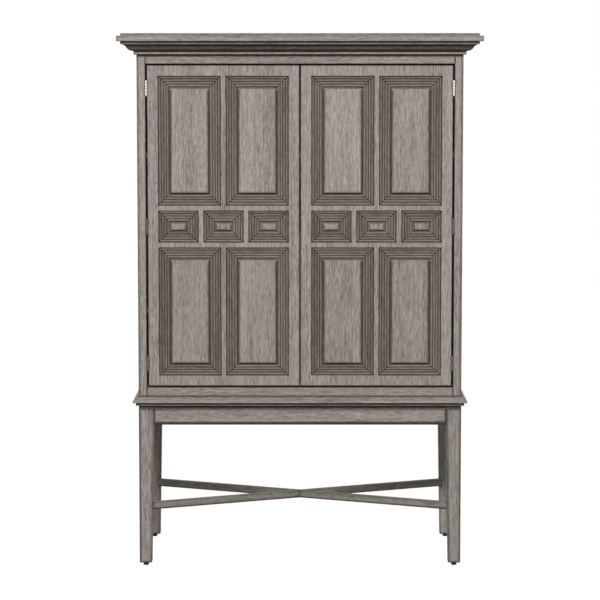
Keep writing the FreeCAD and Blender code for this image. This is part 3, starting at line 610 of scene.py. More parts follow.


# Painted shade, laid on the glaze attribute: under the cornice, above and under the base moulding, in the
# apron's quirk and at the ends of the door gaps.
underCornice = fade(zAxis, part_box("cornice_front")[0].z, -10, 1)
overBase = fade(zAxis, baseTop, 5, 0.85)
underBase = fade(zAxis, standTop, -20, 1)
apronQuirk = fade(zAxis, apronLow.z, 13, 1)
gapEnds = [fade(zAxis, doorBox[0].z - 3 * mm, -3.4, 1), fade(zAxis, doorBox[1].z + 3 * mm, 3.4, 1)]
# Painted shade on the stretchers: their back halves, where the case shades them, the crossing and a line
# along their undersides.
barGlazeAndShade = {"plain": 0.26, "lines": [
    fade(yAxis, barHigh.y, (barLow.y - barHigh.y) / 2 / mm, 0.45),
    fade(yAxis, standMiddle + 95 * mm, 150, 0.82),
    fade(yAxis, standMiddle + 95 * mm, -88, 0.82),
    *fadeBothWays(yAxis, standMiddle, 40, 0.5),
    *fadeBothWays(xAxis, 0, 3.5, 0.9),
    fade(zAxis, barLow.z, 7, 0.95),
]}
planks = {
    # Legs: painted shade under the base moulding, and darker at the foot and along the outer side.
    "legs": {
        "nodes": [f"leg_{corner}" for corner in corners], "along": zAxis, "across": xAxis, "ease": 1.4 * mm,
        "glaze": {"rim": 7.5 * mm, "rimGlazeAndShade": 0.6, "lines": [
            underBase, fade(zAxis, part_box("leg_front_left")[0].z, 7, 0.85),
            *fadeBothSides(caseBox[1].x, (-9, 0.85))]},
        "plain": {"leg_front_right": 0.2, "leg_back_left": -0.12, "leg_back_right": -0.12}},
    # Aprons: painted shade under the base moulding, in the quirk and at the ends beside the legs.
    "long aprons": {
        "nodes": ["apron_front", "apron_back"], "along": xAxis, "across": zAxis,
        "glaze": {"plain": 0.05, "lines": [
            underBase, apronQuirk, *fadeBothSides(apronHigh.x, (-7, 1), (-32, 0.14))]}},
    "short aprons": {
        "nodes": ["apron_left", "apron_right"], "along": yAxis, "across": zAxis,
        "glaze": {"lines": [underBase, apronQuirk]}},
    "stretcher": {
        "nodes": ["stretcher_rising_right"], "along": boxRun("stretcher_rising_right", y=1),
        "across": zAxis, "glaze": barGlazeAndShade},
    "crossing stretcher": {
        "nodes": ["stretcher_rising_left"], "along": boxRun("stretcher_rising_left", y=-1),
        "across": zAxis, "glaze": barGlazeAndShade},
    "corner blocks": {"nodes": ["corner_blocks"], "along": blockRun, "across": zAxis, "inside": True},
    "sides": {
        "nodes": ["side_panel_left", "side_panel_right"], "along": zAxis, "across": yAxis,
        "glaze": {"lines": [underCornice, overBase]}},
    # Stiles: painted shade under the cornice, above the base moulding and along the door gap, and darker
    # along the outer edge.
    "stiles": {
        "nodes": ["stile_left", "stile_right"], "along": zAxis, "across": xAxis, "ease": 1 * mm,
        "glaze": {"lines": [
            underCornice, overBase, *fadeBothSides(caseBox[1].x - 27 * mm, (3.4, 1)),
            *fadeBothSides(caseBox[1].x, (-10, 0.54))]}},
    "top rail": {
        "nodes": ["top_rail"], "along": xAxis, "across": zAxis, "ease": 1 * mm,
        "glaze": {"plain": 0.05, "lines": [underCornice, *gapEnds]}},
    "bottom rail": {
        "nodes": ["bottom_rail"], "along": xAxis, "across": zAxis, "ease": 1 * mm,
        "glaze": {"plain": 0.19, "lines": [overBase, *gapEnds]}},
    # Top board: darker towards its upper face.
    "top": {
        "nodes": ["top_board"], "along": xAxis, "across": yAxis, "ease": 1.6 * mm,
        "glaze": {"rimGlazeAndShade": 0.2, "lines": [fade(zAxis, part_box("top_board")[1].z, -15, 0.42)]}},
    "back": {
        "nodes": ["back_panel"], "along": zAxis, "across": xAxis, "inside": True,
        "shift": (0, -0.35 * mm, 0)},  # room for the screw heads
    "back rail": {"nodes": ["back_top_rail"], "along": xAxis, "across": zAxis, "inside": True},
    "level panels": {
        "nodes": ["floor_panel", "ceiling_panel", "middle_shelf", "upper_shelf", "lower_shelf", "door_stop"],
        "along": xAxis, "across": yAxis, "inside": True},
    "upright panel": {"nodes": ["lower_divider"], "along": zAxis, "across": yAxis, "inside": True},
    "front to back": {
        "nodes": ["base_bearers", "top_cleats", "shelf_battens", "stemware_rails"],
        "along": yAxis, "across": zAxis, "inside": True},
    "rising divider": {
        "nodes": ["wine_divider_rising"], "along": boxRun("wine_divider_rising", z=1),
        "across": yAxis, "inside": True},
    "falling divider": {
        "nodes": ["wine_divider_falling"], "along": boxRun("wine_divider_falling", z=-1),
        "across": yAxis, "inside": True},
}

for plank in planks.values():
    for node in plank["nodes"]:
        glaze = dict(plank.get("glaze", {}))
        if node in plank.get("plain", {}):
            glaze["plain"] = plank["plain"][node]
        mesh = easedMesh(node, plank.get("ease", easing["width"]), partial(glazeAndShadeRims, **glaze))
        mesh.transform(Matrix.Translation(plank.get("shift", (0, 0, 0))))
        markGrain(mesh, plank["along"], plank["across"])
        finishNode(node, mesh, "cabinet", insideOak if plank.get("inside") else greyOak)
print("planks ready:", sum(len(plank["nodes"]) for plank in planks.values()))


# Cornice and base moulding: an outline swept along the front and both sides, with mitres

corniceLook = {
    "foot": 8 * mm,
    "footHeight": 9.5 * mm,
    "step": 3 * mm,
    "stepHeight": 2 * mm,
    "cymaHeight": 20 * mm,
    "arcSteps": 14,
    "ease": 0.6 * mm,
    "footLevels": (1.6, 2.8, 5.2, 7.8),  # more corners, where the glaze and painted shade change
    "capLevels": (1.7, 3.7, 5.2),
    # Painted shade by height, with glaze: dark at the foot's bottom and top, over the downward-facing cyma
    # and at the top of the cap, where the top board shades it, and light on the foot's face and in a line on
    # the cap.
    "glaze": [  # millimetres above the bottom, and how much
        (0, 1), (1.6, 1), (2.8, 0.1), (5.2, 0), (7.8, 0.35), (9.2, 1), (13.5, 1), (16, 0.8), (19, 0.66),
        (22.5, 0.66), (25, 0.88), (27, 1), (30.5, 1), (31.5, 0.8), (33.2, 0.08), (35.2, 0.04), (36.7, 0.8),
        (40.5, 1)],
}
baseLook = {
    "foot": 8.5 * mm,
    "footHeight": 9.5 * mm,
    "lipHeight": 4.3 * mm,
    "ease": 0.8 * mm,
    "footLevels": (4, 5.2),
    "slopeLevels": (0.2, 0.55, 0.8),
    # Painted shade by height, with glaze: dark on the foot under the lip and where the slope meets the rail,
    # and plain on the lip.
    "glaze": [
        (0, 0.6), (1.5, 0.5), (4, 0.5), (5, 1), (9.6, 1), (10.4, 0.36), (13, 0), (14.2, 0), (16.8, 0.26),
        (25.4, 0.3), (28.5, 1)],
}
mitreLook = {"rim": 5 * mm, "glaze": 0.5}


def arcPoints(start, end, radius, side, steps):
    # Points of the short arc after its start, up to and with its end.
    chord = end - start
    middle = (start + end) / 2
    rise = math.sqrt(radius ** 2 - (chord.length / 2) ** 2)
    centre = middle + Vector((-chord.y, chord.x)).normalized() * rise * side
    first = math.atan2(start.y - centre.y, start.x - centre.x)
    sweep = 2 * math.asin(chord.length / 2 / radius) * side
    turns = [first + sweep * step / steps for step in range(1, steps + 1)]
    return [centre + radius * Vector((math.cos(turn), math.sin(turn))) for turn in turns]


def easedOutline(points, radius, turnLimit=math.radians(40)):
    # Cuts each sharp outer corner of a closed outline back to a small round of three points.
    eased = []
    for number, point in enumerate(points):
        before = points[number - 1]
        after = points[(number + 1) % len(points)]
        inward, onward = (point - before), (after - point)
        turn = inward.angle_signed(onward)
        if abs(turn) < turnLimit or turn > 0 or min(inward.length, onward.length) < 2.5 * radius:
            eased.append(point)
            continue
        start = point - inward.normalized() * radius
        end = point + onward.normalized() * radius
        eased += [start, (start + end + 2 * point) / 4 * 0.6 + (start + end) / 2 * 0.4, end]
    return eased


def corniceOutline(look, low, high):
    # Corners as (projection, level), from the foot's back corner outwards and up.
    reach = caseBox[0].y - low.y
    foot, footTop = look["foot"], low.z + look["footHeight"]
    stepOut, stepTop = foot + look["step"], footTop + look["stepHeight"]
    cymaTop = stepTop + look["cymaHeight"]
    run, rise = (reach - stepOut) / 2, look["cymaHeight"] / 2
    radius = (run * run + rise * rise) / (2 * rise)
    start, end = Vector((stepOut, stepTop)), Vector((reach, cymaTop))
    middle = Vector((stepOut + run, stepTop + rise))
    return [
        Vector((0, low.z)),
        Vector((foot, low.z)),
        *(Vector((foot, low.z + level * mm)) for level in look["footLevels"]),
        Vector((foot, footTop)),
        Vector((stepOut, footTop)),
        start,
        *arcPoints(start, middle, radius, 1, look["arcSteps"]),
        *arcPoints(middle, end, radius, -1, look["arcSteps"]),
        *(Vector((reach, cymaTop + level * mm)) for level in look["capLevels"]),
        Vector((reach, high.z)),
        Vector((0, high.z)),
    ]


def baseOutline(look, low, high):
    reach = caseBox[0].y - low.y
    foot, footTop = look["foot"], low.z + look["footHeight"]
    lipTop = footTop + look["lipHeight"]
    slope = high.z - footTop - look["lipHeight"]
    return [
        Vector((0, low.z)),
        Vector((foot, low.z)),
        *(Vector((foot, low.z + level * mm)) for level in look["footLevels"]),
        Vector((foot, footTop)),
        Vector((reach, footTop)),
        Vector((reach, lipTop)),
        *(Vector((reach * (1 - share), lipTop + slope * share)) for share in look["slopeLevels"]),
        Vector((0, high.z)),
    ]


def mouldingMesh(name, outline, startAt, endAt):
    # Two end sections, each given by a function of a corner's projection, and one just inside each.
    shape = bmesh.new()
    along = (Vector(endAt(0, 0)) - Vector(startAt(0, 0))).normalized()
    rim = mitreLook["rim"]
    rings = [
        [shape.verts.new(Vector(sectionAt(corner.x, corner.y)) + along * inwards) for corner in outline]
        for sectionAt, inwards in ((startAt, 0), (startAt, rim), (endAt, -rim), (endAt, 0))
    ]
    count = len(outline)
    for near, far in zip(rings, rings[1:]):
        for number in range(count):
            following = (number + 1) % count
            shape.faces.new((near[number], near[following], far[following], far[number]))
    shape.faces.new(rings[0][::-1])
    shape.faces.new(rings[-1])
    bmesh.ops.recalc_face_normals(shape, faces=shape.faces)
    for edge in shape.edges:
        edge.smooth = edge.calc_face_angle() < easing["sharpAngle"]
    for face in shape.faces:
        face.smooth = len(face.verts) == 4
    return closeShape(shape, name)


def levelAmount(height, levels):
    # The amount at a height, in a line from each level to the next.
    for (low, lowGlaze), (high, highGlaze) in zip(levels, levels[1:]):
        if height <= high:
            return lowGlaze + (highGlaze - lowGlaze) * max(0, height - low) / (high - low)
    return levels[-1][1]


def addMouldings(kind, look, outlineOf):
    # The three lengths of a moulding: the front and both sides.
    left, right = caseBox[0].x, caseBox[1].x
    front, back = caseBox[0].y, caseBox[1].y
    low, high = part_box(f"{kind}_front")
    outline = easedOutline(outlineOf(look, low, high), look["ease"])
    ends = {
        "leftBack": lambda out, level: (left - out, back, level),
        "leftFront": lambda out, level: (left - out, front - out, level),
        "rightFront": lambda out, level: (right + out, front - out, level),
        "rightBack": lambda out, level: (right + out, back, level),
    }
    for run, start, end, along in (
            ("front", "leftFront", "rightFront", xAxis), ("left", "leftBack", "leftFront", yAxis),
            ("right", "rightFront", "rightBack", yAxis)):
        node = f"{kind}_{run}"
        mesh = mouldingMesh(f"{node}_mesh", outline, ends[start], ends[end])
        markGrain(mesh, along, zAxis)
        glaze = [levelAmount((vertex.co.z - low.z) / mm, look["glaze"]) for vertex in mesh.vertices]
        for number in range(len(outline)):
            glaze[number] += mitreLook["glaze"]
            glaze[-1 - number] += mitreLook["glaze"]
        writeAttribute(mesh, "glaze", glaze)
        finishNode(node, mesh, "cabinet", greyOak)


addMouldings("cornice", corniceLook, corniceOutline)
addMouldings("base_moulding", baseLook, baseOutline)
print("mouldings ready")


# Doors: eased slabs, with glaze and painted shade round the raised fields and a painted highlight on their
# top edges

# Amounts of glaze and painted shade: painted shade in the channels, the door gaps and along the outer edges,
# and a painted highlight on the top edge of each raised field.
doorLook = {
    "ease": 1 * mm,
    "rim": 6 * mm,
    "rimGlazeAndShade": 0.72,
    "litTopGlaze": 0.1,  # on the top and bottom edges of a raised field; the light top edge is a painted highlight
    "bottomGlaze": 0.5,
    "frontGlaze": 0.05,
    "edgeGlazeAndShade": 1.0,
    "backGlaze": 0.08,
    "channelGlazeAndShade": {"tall": 0.87, "small": 0.6, "high": 0.5},
    "channelEnd": 10 * mm,  # how far the thinner "high" glaze and painted shade goes above a tall field
    "outerRim": 3.4 * mm,
    "outerShading": 0.15,
    "fieldDarkening": {(-1, 1): 0.03, (1, 1): 0.0, (-1, -1): 0.11, (1, -1): 0.09},  # by side and height
}


def channelGlazeAndShade(spot, tops, smallSpan):
    # Glaze and painted shade in a channel: thick round a tall field, and thinner above it and round the small
    # ones.
    if smallSpan[0].z < spot.z < smallSpan[1].z:
        return doorLook["channelGlazeAndShade"]["small"]
    high = any(-0.1 * mm < spot.z - top < doorLook["channelEnd"] for top in tops)
    return doorLook["channelGlazeAndShade"]["high" if high else "tall"]


def glazeAndShadeDoor(mesh, side):
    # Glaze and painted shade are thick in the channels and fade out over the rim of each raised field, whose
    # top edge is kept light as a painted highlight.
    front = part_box(f"door_{side}")[0].y
    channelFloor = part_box(f"tall_frames_{side}")[1].y
    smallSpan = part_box(f"small_frames_{side}")
    shape = openShape(mesh)
    fields = [
        face for face in shape.faces
        if face.normal.y < -0.999 and abs(face.calc_center_median().y - front) < 0.01 * mm
        and len(face.verts) == 4 and all(edge.calc_length() > 10 * mm for edge in face.edges)
    ]
    backs = [face for face in shape.faces if face.normal.y > 0.999 and staysOpen(face, easing["rim"])]
    walls = [face for face in shape.faces if face not in fields and face not in backs]
    tops = {round(max(vertex.co.z for vertex in face.verts), 5) for face in fields}
    for top in tops:
        parts = [part for face in walls if face.is_valid for part in (face, *face.edges, *face.verts)]
        cutAcross(shape, zAxis * (top - doorLook["rim"]), zAxis, list(dict.fromkeys(parts)))
    glaze = shape.verts.layers.float.new("glaze")
    for vertex in shape.verts:
        vertex[glaze] = doorLook["edgeGlazeAndShade"]
        if front + 0.3 * mm < vertex.co.y < channelFloor + 0.1 * mm:
            vertex[glaze] = channelGlazeAndShade(vertex.co, tops, smallSpan)
        if vertex.co.y < front + 0.01 * mm:
            vertex[glaze] = doorLook["frontGlaze"]
    for face in fields:
        bottom, top = (limit(vertex.co.z for vertex in face.verts) for limit in (min, max))
        for vertex in face.verts:
            vertex[glaze] = doorLook["rimGlazeAndShade"]
            if vertex.co.z > top - 0.1 * mm:
                vertex[glaze] = doorLook["litTopGlaze"]
            elif vertex.co.z < bottom + 0.1 * mm:
                vertex[glaze] = doorLook["bottomGlaze"]
    bmesh.ops.inset_individual(shape, faces=fields, thickness=doorLook["rim"], use_even_offset=True)
    bmesh.ops.inset_individual(shape, faces=backs, thickness=easing["rim"], use_even_offset=True)
    paintFaces(backs, glaze, doorLook["backGlaze"])
    doorMiddle = (doorBox[0].z + doorBox[1].z) / 2
    for face in fields:
        centre = face.calc_center_median()
        quarter = (math.copysign(1, centre.x), math.copysign(1, centre.z - doorMiddle))
        paintFaces([face], glaze, doorLook["fieldDarkening"][quarter])
    glazeAndShadeOuterRim(shape, glaze, channelFloor)
    closeShape(shape, mesh)


def glazeAndShadeOuterRim(shape, glaze, channelFloor):
    # Painted shade along the four outer edges of the door's front, beside the gaps.
    ends = [
        (axis, limit(vertex.co.dot(axis) for vertex in shape.verts), inwards)
        for axis in (xAxis, zAxis) for limit, inwards in ((min, 1), (max, -1))
    ]
    for axis, level, inwards in ends:
        end = level + inwards * doorLook["outerRim"]
        cutAcross(shape, axis * end, axis)
        for vertex in shape.verts:
            share = (vertex.co.dot(axis) - end) / (level - end)
            if share > 0.01 and vertex.co.y < channelFloor:
                vertex[glaze] = max(vertex[glaze], min(1, doorLook["outerShading"] + share))


for side in sideSigns:
    mesh = easedMesh(f"door_{side}", doorLook["ease"], partial(glazeAndShadeDoor, side=side))
    markGrain(mesh, zAxis, xAxis)
    finishNode(f"door_{side}", mesh, f"{side}_door", greyOak)
print("doors ready")


# Geometry trees

def geometryTree(name, inputs):
    # An empty tree with one geometry output and inputs of these kinds and names.
    tree = bpy.data.node_groups.new(name, "GeometryNodeTree")
    tree.is_modifier = True
    tree.interface.new_socket("Geometry", in_out="INPUT", socket_type="NodeSocketGeometry")
    for kind, labels in inputs.items():
        for label in labels:
            tree.interface.new_socket(label, in_out="INPUT", socket_type=f"NodeSocket{kind}")
    tree.interface.new_socket("Geometry", in_out="OUTPUT", socket_type="NodeSocketGeometry")
    entry = tree.nodes.new("NodeGroupInput")
    given = {socket.name: Wire(tree, socket) for socket in entry.outputs if socket.name}
    return tree, Wire(tree), given


def closeTree(start, geometry, material):
    # Every tree ends in Realize Instances and Set Material.
    whole = start.node("GeometryNodeRealizeInstances", {}, {"Geometry": geometry})
    finished = start.node("GeometryNodeSetMaterial", {}, {"Geometry": whole, "Material": material})
    start.node("NodeGroupOutput", {}, {"Geometry": finished})


def grownMesh(name, tree, values, seedMesh=None):
    # Runs a tree on a new object with these inputs and returns the plain mesh.
    holder = linkedObject(name, seedMesh or bpy.data.meshes.new(name))
    modifier = holder.modifiers.new(tree.name, "NODES")
    modifier.node_group = tree
    for socket in tree.interface.items_tree:
        if socket.in_out == "INPUT" and socket.name in values:
            modifier[socket.identifier] = values[socket.name]
    return evaluatedMesh(holder, name)


# Reeded frames: four mitred sticks round a field, set out in rows

reedLook = {
    "Reed count": 4,
    "Reed width": 8 * mm,
    "Reed height": 2.6 * mm,
    "Reed steps": 8,
    "Base depth": 2.9 * mm,
    "Outer quirk": 1.2 * mm,
    "Mitre gap": 0.12 * mm,
    "Mitre rim": 3.2 * mm,
    "Mitre shade": 1.8,
    # Painted shade in the grooves, on the outer reeds and at the mitres, and a painted highlight on the outer
    # reed of the bottom sticks
    "Groove shade": 0.62,
    "Outer shade": 0.24,
    "Inward fade": 0.16,
    "Low highlight": 0.3,  # painted highlight on the outer reed of the bottom sticks
    "High shade": 0.04,  # on the two outer reeds of the top sticks
}
frameGap = 16 * mm
frameCounts = {"tall": (2, 2), "small": (3, 1)}  # columns and rows
stickShift = (0.61, 0.23, 0.17)  # how far apart the sticks and the frames lie in their wood
frameShift = (1.37, 0.71, 0.29)


def reedOutline(start, given):
    # A stick's section: X is inwards from its outer edge and Y is outwards from its back.
    steps = given["Reed count"] * given["Reed steps"]
    index = start.node("GeometryNodeInputIndex")
    step = (index - 2).atLeast(0).atMost(steps)
    pastQuirk = (index - 1).atLeast(0).atMost(1)
    reeds = step / given["Reed steps"]
    inner = reeds * given["Reed width"] + pastQuirk * given["Outer quirk"]
    halfReed = given["Reed width"] / 2
    radius = (halfReed * halfReed + given["Reed height"] * given["Reed height"]) / (given["Reed height"] * 2)
    chord = (reeds.math("FRACT") - 0.5) * given["Reed width"]
    rise = (radius * radius - chord * chord).math("SQRT") - (radius - given["Reed height"])
    onTop = index.atMost(1) * (steps + 3 - index).atMost(1)
    line = start.node("GeometryNodeMeshLine", {"mode": "OFFSET"}, {"Count": steps + 4})
    line = line.placed(start.vector(inner, onTop * (given["Base depth"] + rise)))
    # Painted shade: dark in the grooves between the reeds, and on the outer reeds, less so inwards.
    inGroove = 1 - onTop * (rise / given["Reed height"])
    outerShade = given["Outer shade"] - given["Inward fade"] * (step / steps)
    line = line.stored("glaze", inGroove * given["Groove shade"] + outerShade)
    curve = start.node("GeometryNodeMeshToCurve", {}, {"Mesh": line})
    return start.node("GeometryNodeSetSplineCyclic", {}, {"Geometry": curve, "Cyclic": True})


def reededStick(start, given, outline, length, order, outerShading=0.0, reeds=1):
    # Lies along X, with its outer edge at Z zero and its reeds towards -Y.
    # The outer shading, a painted highlight below 0 and painted shade above it, is for as many reeds, counted
    # from the outer edge.
    half = length / 2
    along = start.node("GeometryNodeInputIndex") - 1.5
    nearEnd = abs(along).math("GREATER_THAN", 1)
    reach = along.math("SIGN") * (half - (1 - nearEnd) * given["Mitre rim"])
    path = start.node("GeometryNodeMeshLine", {"mode": "OFFSET"}, {"Count": 4})
    path = start.node("GeometryNodeMeshToCurve", {}, {"Mesh": path.placed(start.vector(reach))})
    swept = start.node("GeometryNodeCurveToMesh", {}, {
        "Curve": path, "Profile Curve": outline, "Fill Caps": True})
    place = start.node("GeometryNodeInputPosition")
    across = place.along("X")
    inwards = abs(place.along("Y"))
    fromMiddle = abs(across)
    atMitre = fromMiddle.math("GREATER_THAN", half - given["Mitre rim"] / 2)
    outer = inwards.math("LESS_THAN", given["Reed width"] * reeds)
    # Painted shade, darker at the mitres, plus the outer shading.
    shade = start.named("glaze") * (1 + atMitre * given["Mitre shade"]) + outer * outerShading
    swept = swept.stored("glaze", shade.atLeast(0))
    mitred = across.math("SIGN") * (fromMiddle - inwards - given["Mitre gap"])
    swept = swept.placed(start.vector(mitred, -abs(place.along("Z")), inwards))
    wood = start.node("GeometryNodeInputPosition").moved([order * shift for shift in stickShift])
    return swept.stored("grain", wood, "FLOAT_VECTOR")


def turned(start, geometry, turn, x, z):
    return start.node("GeometryNodeTransform", {}, {
        "Geometry": geometry, "Translation": start.vector(x, 0, z),
        "Rotation": (0, math.radians(turn), 0)})


def reededFrameTree():
    tree, start, given = geometryTree("reededFrames", {
        "Int": ["Columns", "Rows", "Reed count", "Reed steps"],
        "Float": [
            "Pitch across", "Pitch up", "Width", "Height", "Reed width", "Reed height", "Base depth",
            "Outer quirk", "Mitre gap", "Mitre rim", "Mitre shade", "Groove shade", "Outer shade",
            "Inward fade", "Low highlight", "High shade"],
        "Vector": ["First corner"],
        "Material": ["Material"],
    })
    stick = partial(reededStick, start, given, reedOutline(start, given))
    width, height = given["Width"], given["Height"]
    sticks = [
        turned(start, stick(width, 1, -given["Low highlight"]), 0, width / 2, 0),
        turned(start, stick(width, 2, given["High shade"], 2), 180, width / 2, height),
        turned(start, stick(height, 3), 90, 0, height / 2),
        turned(start, stick(height, 4), 270, width, height / 2),
    ]
    whole = start.node("GeometryNodeJoinGeometry")
    for part in sticks:
        tree.links.new(part.socket, whole.socket.node.inputs[0])
    number = start.node("GeometryNodeInputIndex")
    column = number.math("MODULO", given["Columns"])
    row = (number / given["Columns"]).math("FLOOR")
    place = start.vector(column * given["Pitch across"], 0, row * given["Pitch up"])
    points = start.node("GeometryNodePoints", {}, {
        "Count": given["Columns"] * given["Rows"], "Position": place.moved(given["First corner"])})
    frames = start.node("GeometryNodeInstanceOnPoints", {}, {"Points": points, "Instance": whole})
    frames = frames.stored("frameNumber", start.node("GeometryNodeInputIndex"), domain="INSTANCE")
    frames = start.node("GeometryNodeRealizeInstances", {}, {"Geometry": frames})
    frameNumber = start.named("frameNumber")
    shift = start.vector(*(frameNumber * apart for apart in frameShift))
    frames = frames.stored("grain", start.named("grain", "FLOAT_VECTOR").moved(shift), "FLOAT_VECTOR")
    bent = start.node("GeometryNodeInputMeshEdgeAngle", {}, {}, "Unsigned Angle")
    soft = bent.node("FunctionNodeCompare", {"operation": "LESS_THAN"}, {0: bent, 1: easing["sharpAngle"]})
    frames = start.node("GeometryNodeSetShadeSmooth", {"domain": "EDGE"}, {
        "Geometry": frames, "Shade Smooth": soft})
    closeTree(start, frames, given["Material"])
    return tree


def frameValues(kind, side):
    # Works out one set of frames from the boxes of the tall and small sets.
    low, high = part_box(f"{kind}_frames_{side}")
    heights = {name: boxRun(f"{name}_frames_{side}", z=1).z for name in frameCounts}
    heights["tall"] = (heights["tall"] - heights["small"]) / 2 - frameGap
    columns, rows = frameCounts[kind]
    width = (high.x - low.x - (columns - 1) * frameGap) / columns
    return dict(reedLook, **{
        "Columns": columns, "Rows": rows, "Width": width, "Height": heights[kind],
        "Pitch across": width + frameGap, "Pitch up": high.z - low.z - heights[kind],
        "First corner": (low.x, high.y, low.z), "Material": glazedOak,
    })


reededFrames = reededFrameTree()
for side in sideSigns:
    for kind in frameCounts:
        node = f"{kind}_frames_{side}"
        mesh = grownMesh(f"{node}_mesh", reededFrames, frameValues(kind, side))
        finishNode(node, mesh, f"{side}_door", glazedOak)
print("reeded frames ready")


# Turned and flat work

def smoothMesh(name, shape):
    # Closes the work on a shape: outward normals, and smooth faces with sharp arrises.
    bmesh.ops.recalc_face_normals(shape, faces=shape.faces)
    for edge in shape.edges:
        edge.smooth = len(edge.link_faces) == 2 and edge.calc_face_angle() < easing["sharpAngle"]
    for face in shape.faces:
        face.smooth = True
    return closeShape(shape, name)


def setAt(origin, across, up, through):
    # The matrix that turns X, Y and Z to these three axes and puts their start at the origin.
    return Matrix.Translation(origin) @ Matrix((across, up, through)).transposed().to_4x4()


def scaled(points):
    return [(x * mm, y * mm) for x, y in points]


def addLathed(shape, outline, steps, place, closed=False):
    # Spins (radius, height) points round Z and puts the result in its place, a matrix.
    rings = []
    for radius, height in outline:
        count = steps if radius > 0 else 1
        turns = [2 * math.pi * step / count for step in range(count)]
        rings.append([
            shape.verts.new(place @ Vector((radius * math.cos(turn), radius * math.sin(turn), height)))
            for turn in turns
        ])
    pairs = list(zip(rings, rings[1:])) + ([(rings[-1], rings[0])] if closed else [])
    for low, high in pairs:
        for step in range(steps):
            quad = [
                low[step % len(low)], low[(step + 1) % len(low)],
                high[(step + 1) % len(high)], high[step % len(high)],
            ]
            shape.faces.new(list(dict.fromkeys(quad)))


def addPrism(shape, outline, place, depth):
    # A flat outline in XY, given a depth along Z, and put in its place.
    low = [shape.verts.new(place @ Vector((x, y, 0))) for x, y in outline]
    high = [shape.verts.new(place @ Vector((x, y, depth))) for x, y in outline]
    shape.faces.new(low[::-1])
    shape.faces.new(high)
    for number in range(len(outline)):
        following = (number + 1) % len(outline)
        shape.faces.new((low[number], low[following], high[following], high[number]))


def roundedCorner(x, y, radius, first, steps=4):
    # Points of a quarter circle round a centre, from the first angle in degrees.
    turns = [math.radians(first + 90 * step / steps) for step in range(steps + 1)]
    return [(x + radius * math.cos(turn), y + radius * math.sin(turn)) for turn in turns]


screwSpots = {}


def noteScrews(body, spots, facing, radius):
    screwSpots.setdefault(body, []).extend((Vector(spot), Vector(facing), radius) for spot in spots)


# Hinges

hingeLook = {
    "height": 46 * mm,
    "knuckles": {"case": (0, 2, 4), "door": (1, 3)},
    "knuckleCount": 5,
    "knuckleGap": 0.3 * mm,
    "knuckleRadius": 3 * mm,
    "knuckleEase": 0.4 * mm,
    "boreRadius": 1.35 * mm,
    "curl": (0.5 * mm, 5 * mm),  # from the pin to the leaf
    "leafSide": (0.2 * mm, 2 * mm),
    "leafDepth": (4 * mm, 20.5 * mm),
    "leafCorner": 2.5 * mm,
    "pinTip": [(0, 2), (1.0, 1.86), (1.75, 1.42), (2.2, 0.9), (2.4, 0.45), (2.2, 0.12), (1.3, 0)],
    "steps": 32,
    "screwRadius": 2.6 * mm,
    "screwSpread": 15 * mm,
    "screwAside": {-1: 2.5 * mm, 0: -3 * mm, 1: 2.5 * mm},  # a shallow zigzag
    # barrels above this height get the painted highlight on their fronts
    "brightAbove": 1.3,
    "leafTarnish": 0.35,
}
hingeLevels = [pinLow.z + pinReach, pinMiddle, pinHigh.z - pinReach]
pinPlaces = {
    side: [Vector((*jointSpots[f"{side}_door_hinge"][:2], level)) for level in hingeLevels]
    for side in sideSigns
}


def addLeaf(shape, pin, hand, knuckles):
    # One leaf with its curled knuckles. The hand is +1 where it lies on the pin's right.
    look = hingeLook
    pitch = look["height"] / look["knuckleCount"]
    bore, outer, ease = look["boreRadius"], look["knuckleRadius"], look["knuckleEase"]
    near, far = (hand * side for side in look["leafSide"])
    fromSide = setAt((pin.x + near, pin.y, pin.z), yAxis, zAxis, xAxis)
    curlStart, curlEnd = look["curl"]
    for number in knuckles:
        low = number * pitch - look["height"] / 2 + look["knuckleGap"] / 2
        high = low + pitch - look["knuckleGap"]
        barrel = [
            (bore, low), (outer - ease, low), (outer - 0.3 * ease, low + 0.3 * ease), (outer, low + ease),
            (outer, high - ease), (outer - 0.3 * ease, high - 0.3 * ease), (outer - ease, high), (bore, high),
        ]
        addLathed(shape, barrel, look["steps"], Matrix.Translation(pin), closed=True)
        curl = [(curlStart, low), (curlEnd, low), (curlEnd, high), (curlStart, high)]
        addPrism(shape, curl, fromSide, far - near)
    start, end = look["leafDepth"]
    half, corner = look["height"] / 2, look["leafCorner"]
    plate = [
        (start, -half),
        *roundedCorner(end - corner, corner - half, corner, -90),
        *roundedCorner(end - corner, half - corner, corner, 0),
        (start, half),
    ]
    addPrism(shape, plate, fromSide, far - near)


def noteLeafScrews(pin, hand, body):
    # Three countersunk screws on the leaf's open face.
    face = pin.x + hand * hingeLook["leafSide"][0]
    middle = pin.y + sum(hingeLook["leafDepth"]) / 2
    spots = [
        (face, middle + aside, pin.z + step * hingeLook["screwSpread"])
        for step, aside in hingeLook["screwAside"].items()
    ]
    noteScrews(body, spots, (-hand, 0, 0), hingeLook["screwRadius"])


def addHingeWork(node, shape, body):
    # Painted highlight and shade: the barrels of the upper hinges are bright in front, and the others are
    # dark all round.
    mesh = smoothMesh(f"{node}_mesh", shape)
    plateStart = pinLow.y + hingeLook["leafDepth"][0]
    tarnish = []
    for vertex in mesh.vertices:
        # worn here is a painted highlight on the front of each upper barrel; the rest of each barrel is
        # painted dark
        worn = max(0, -vertex.normal.y) ** 1.2 if vertex.co.z > hingeLook["brightAbove"] else 0
        tarnish.append(hingeLook["leafTarnish"] if vertex.co.y > plateStart else 1 - worn)
    writeAttribute(mesh, "tarnish", tarnish)
    finishNode(node, mesh, body, nickelPlate)


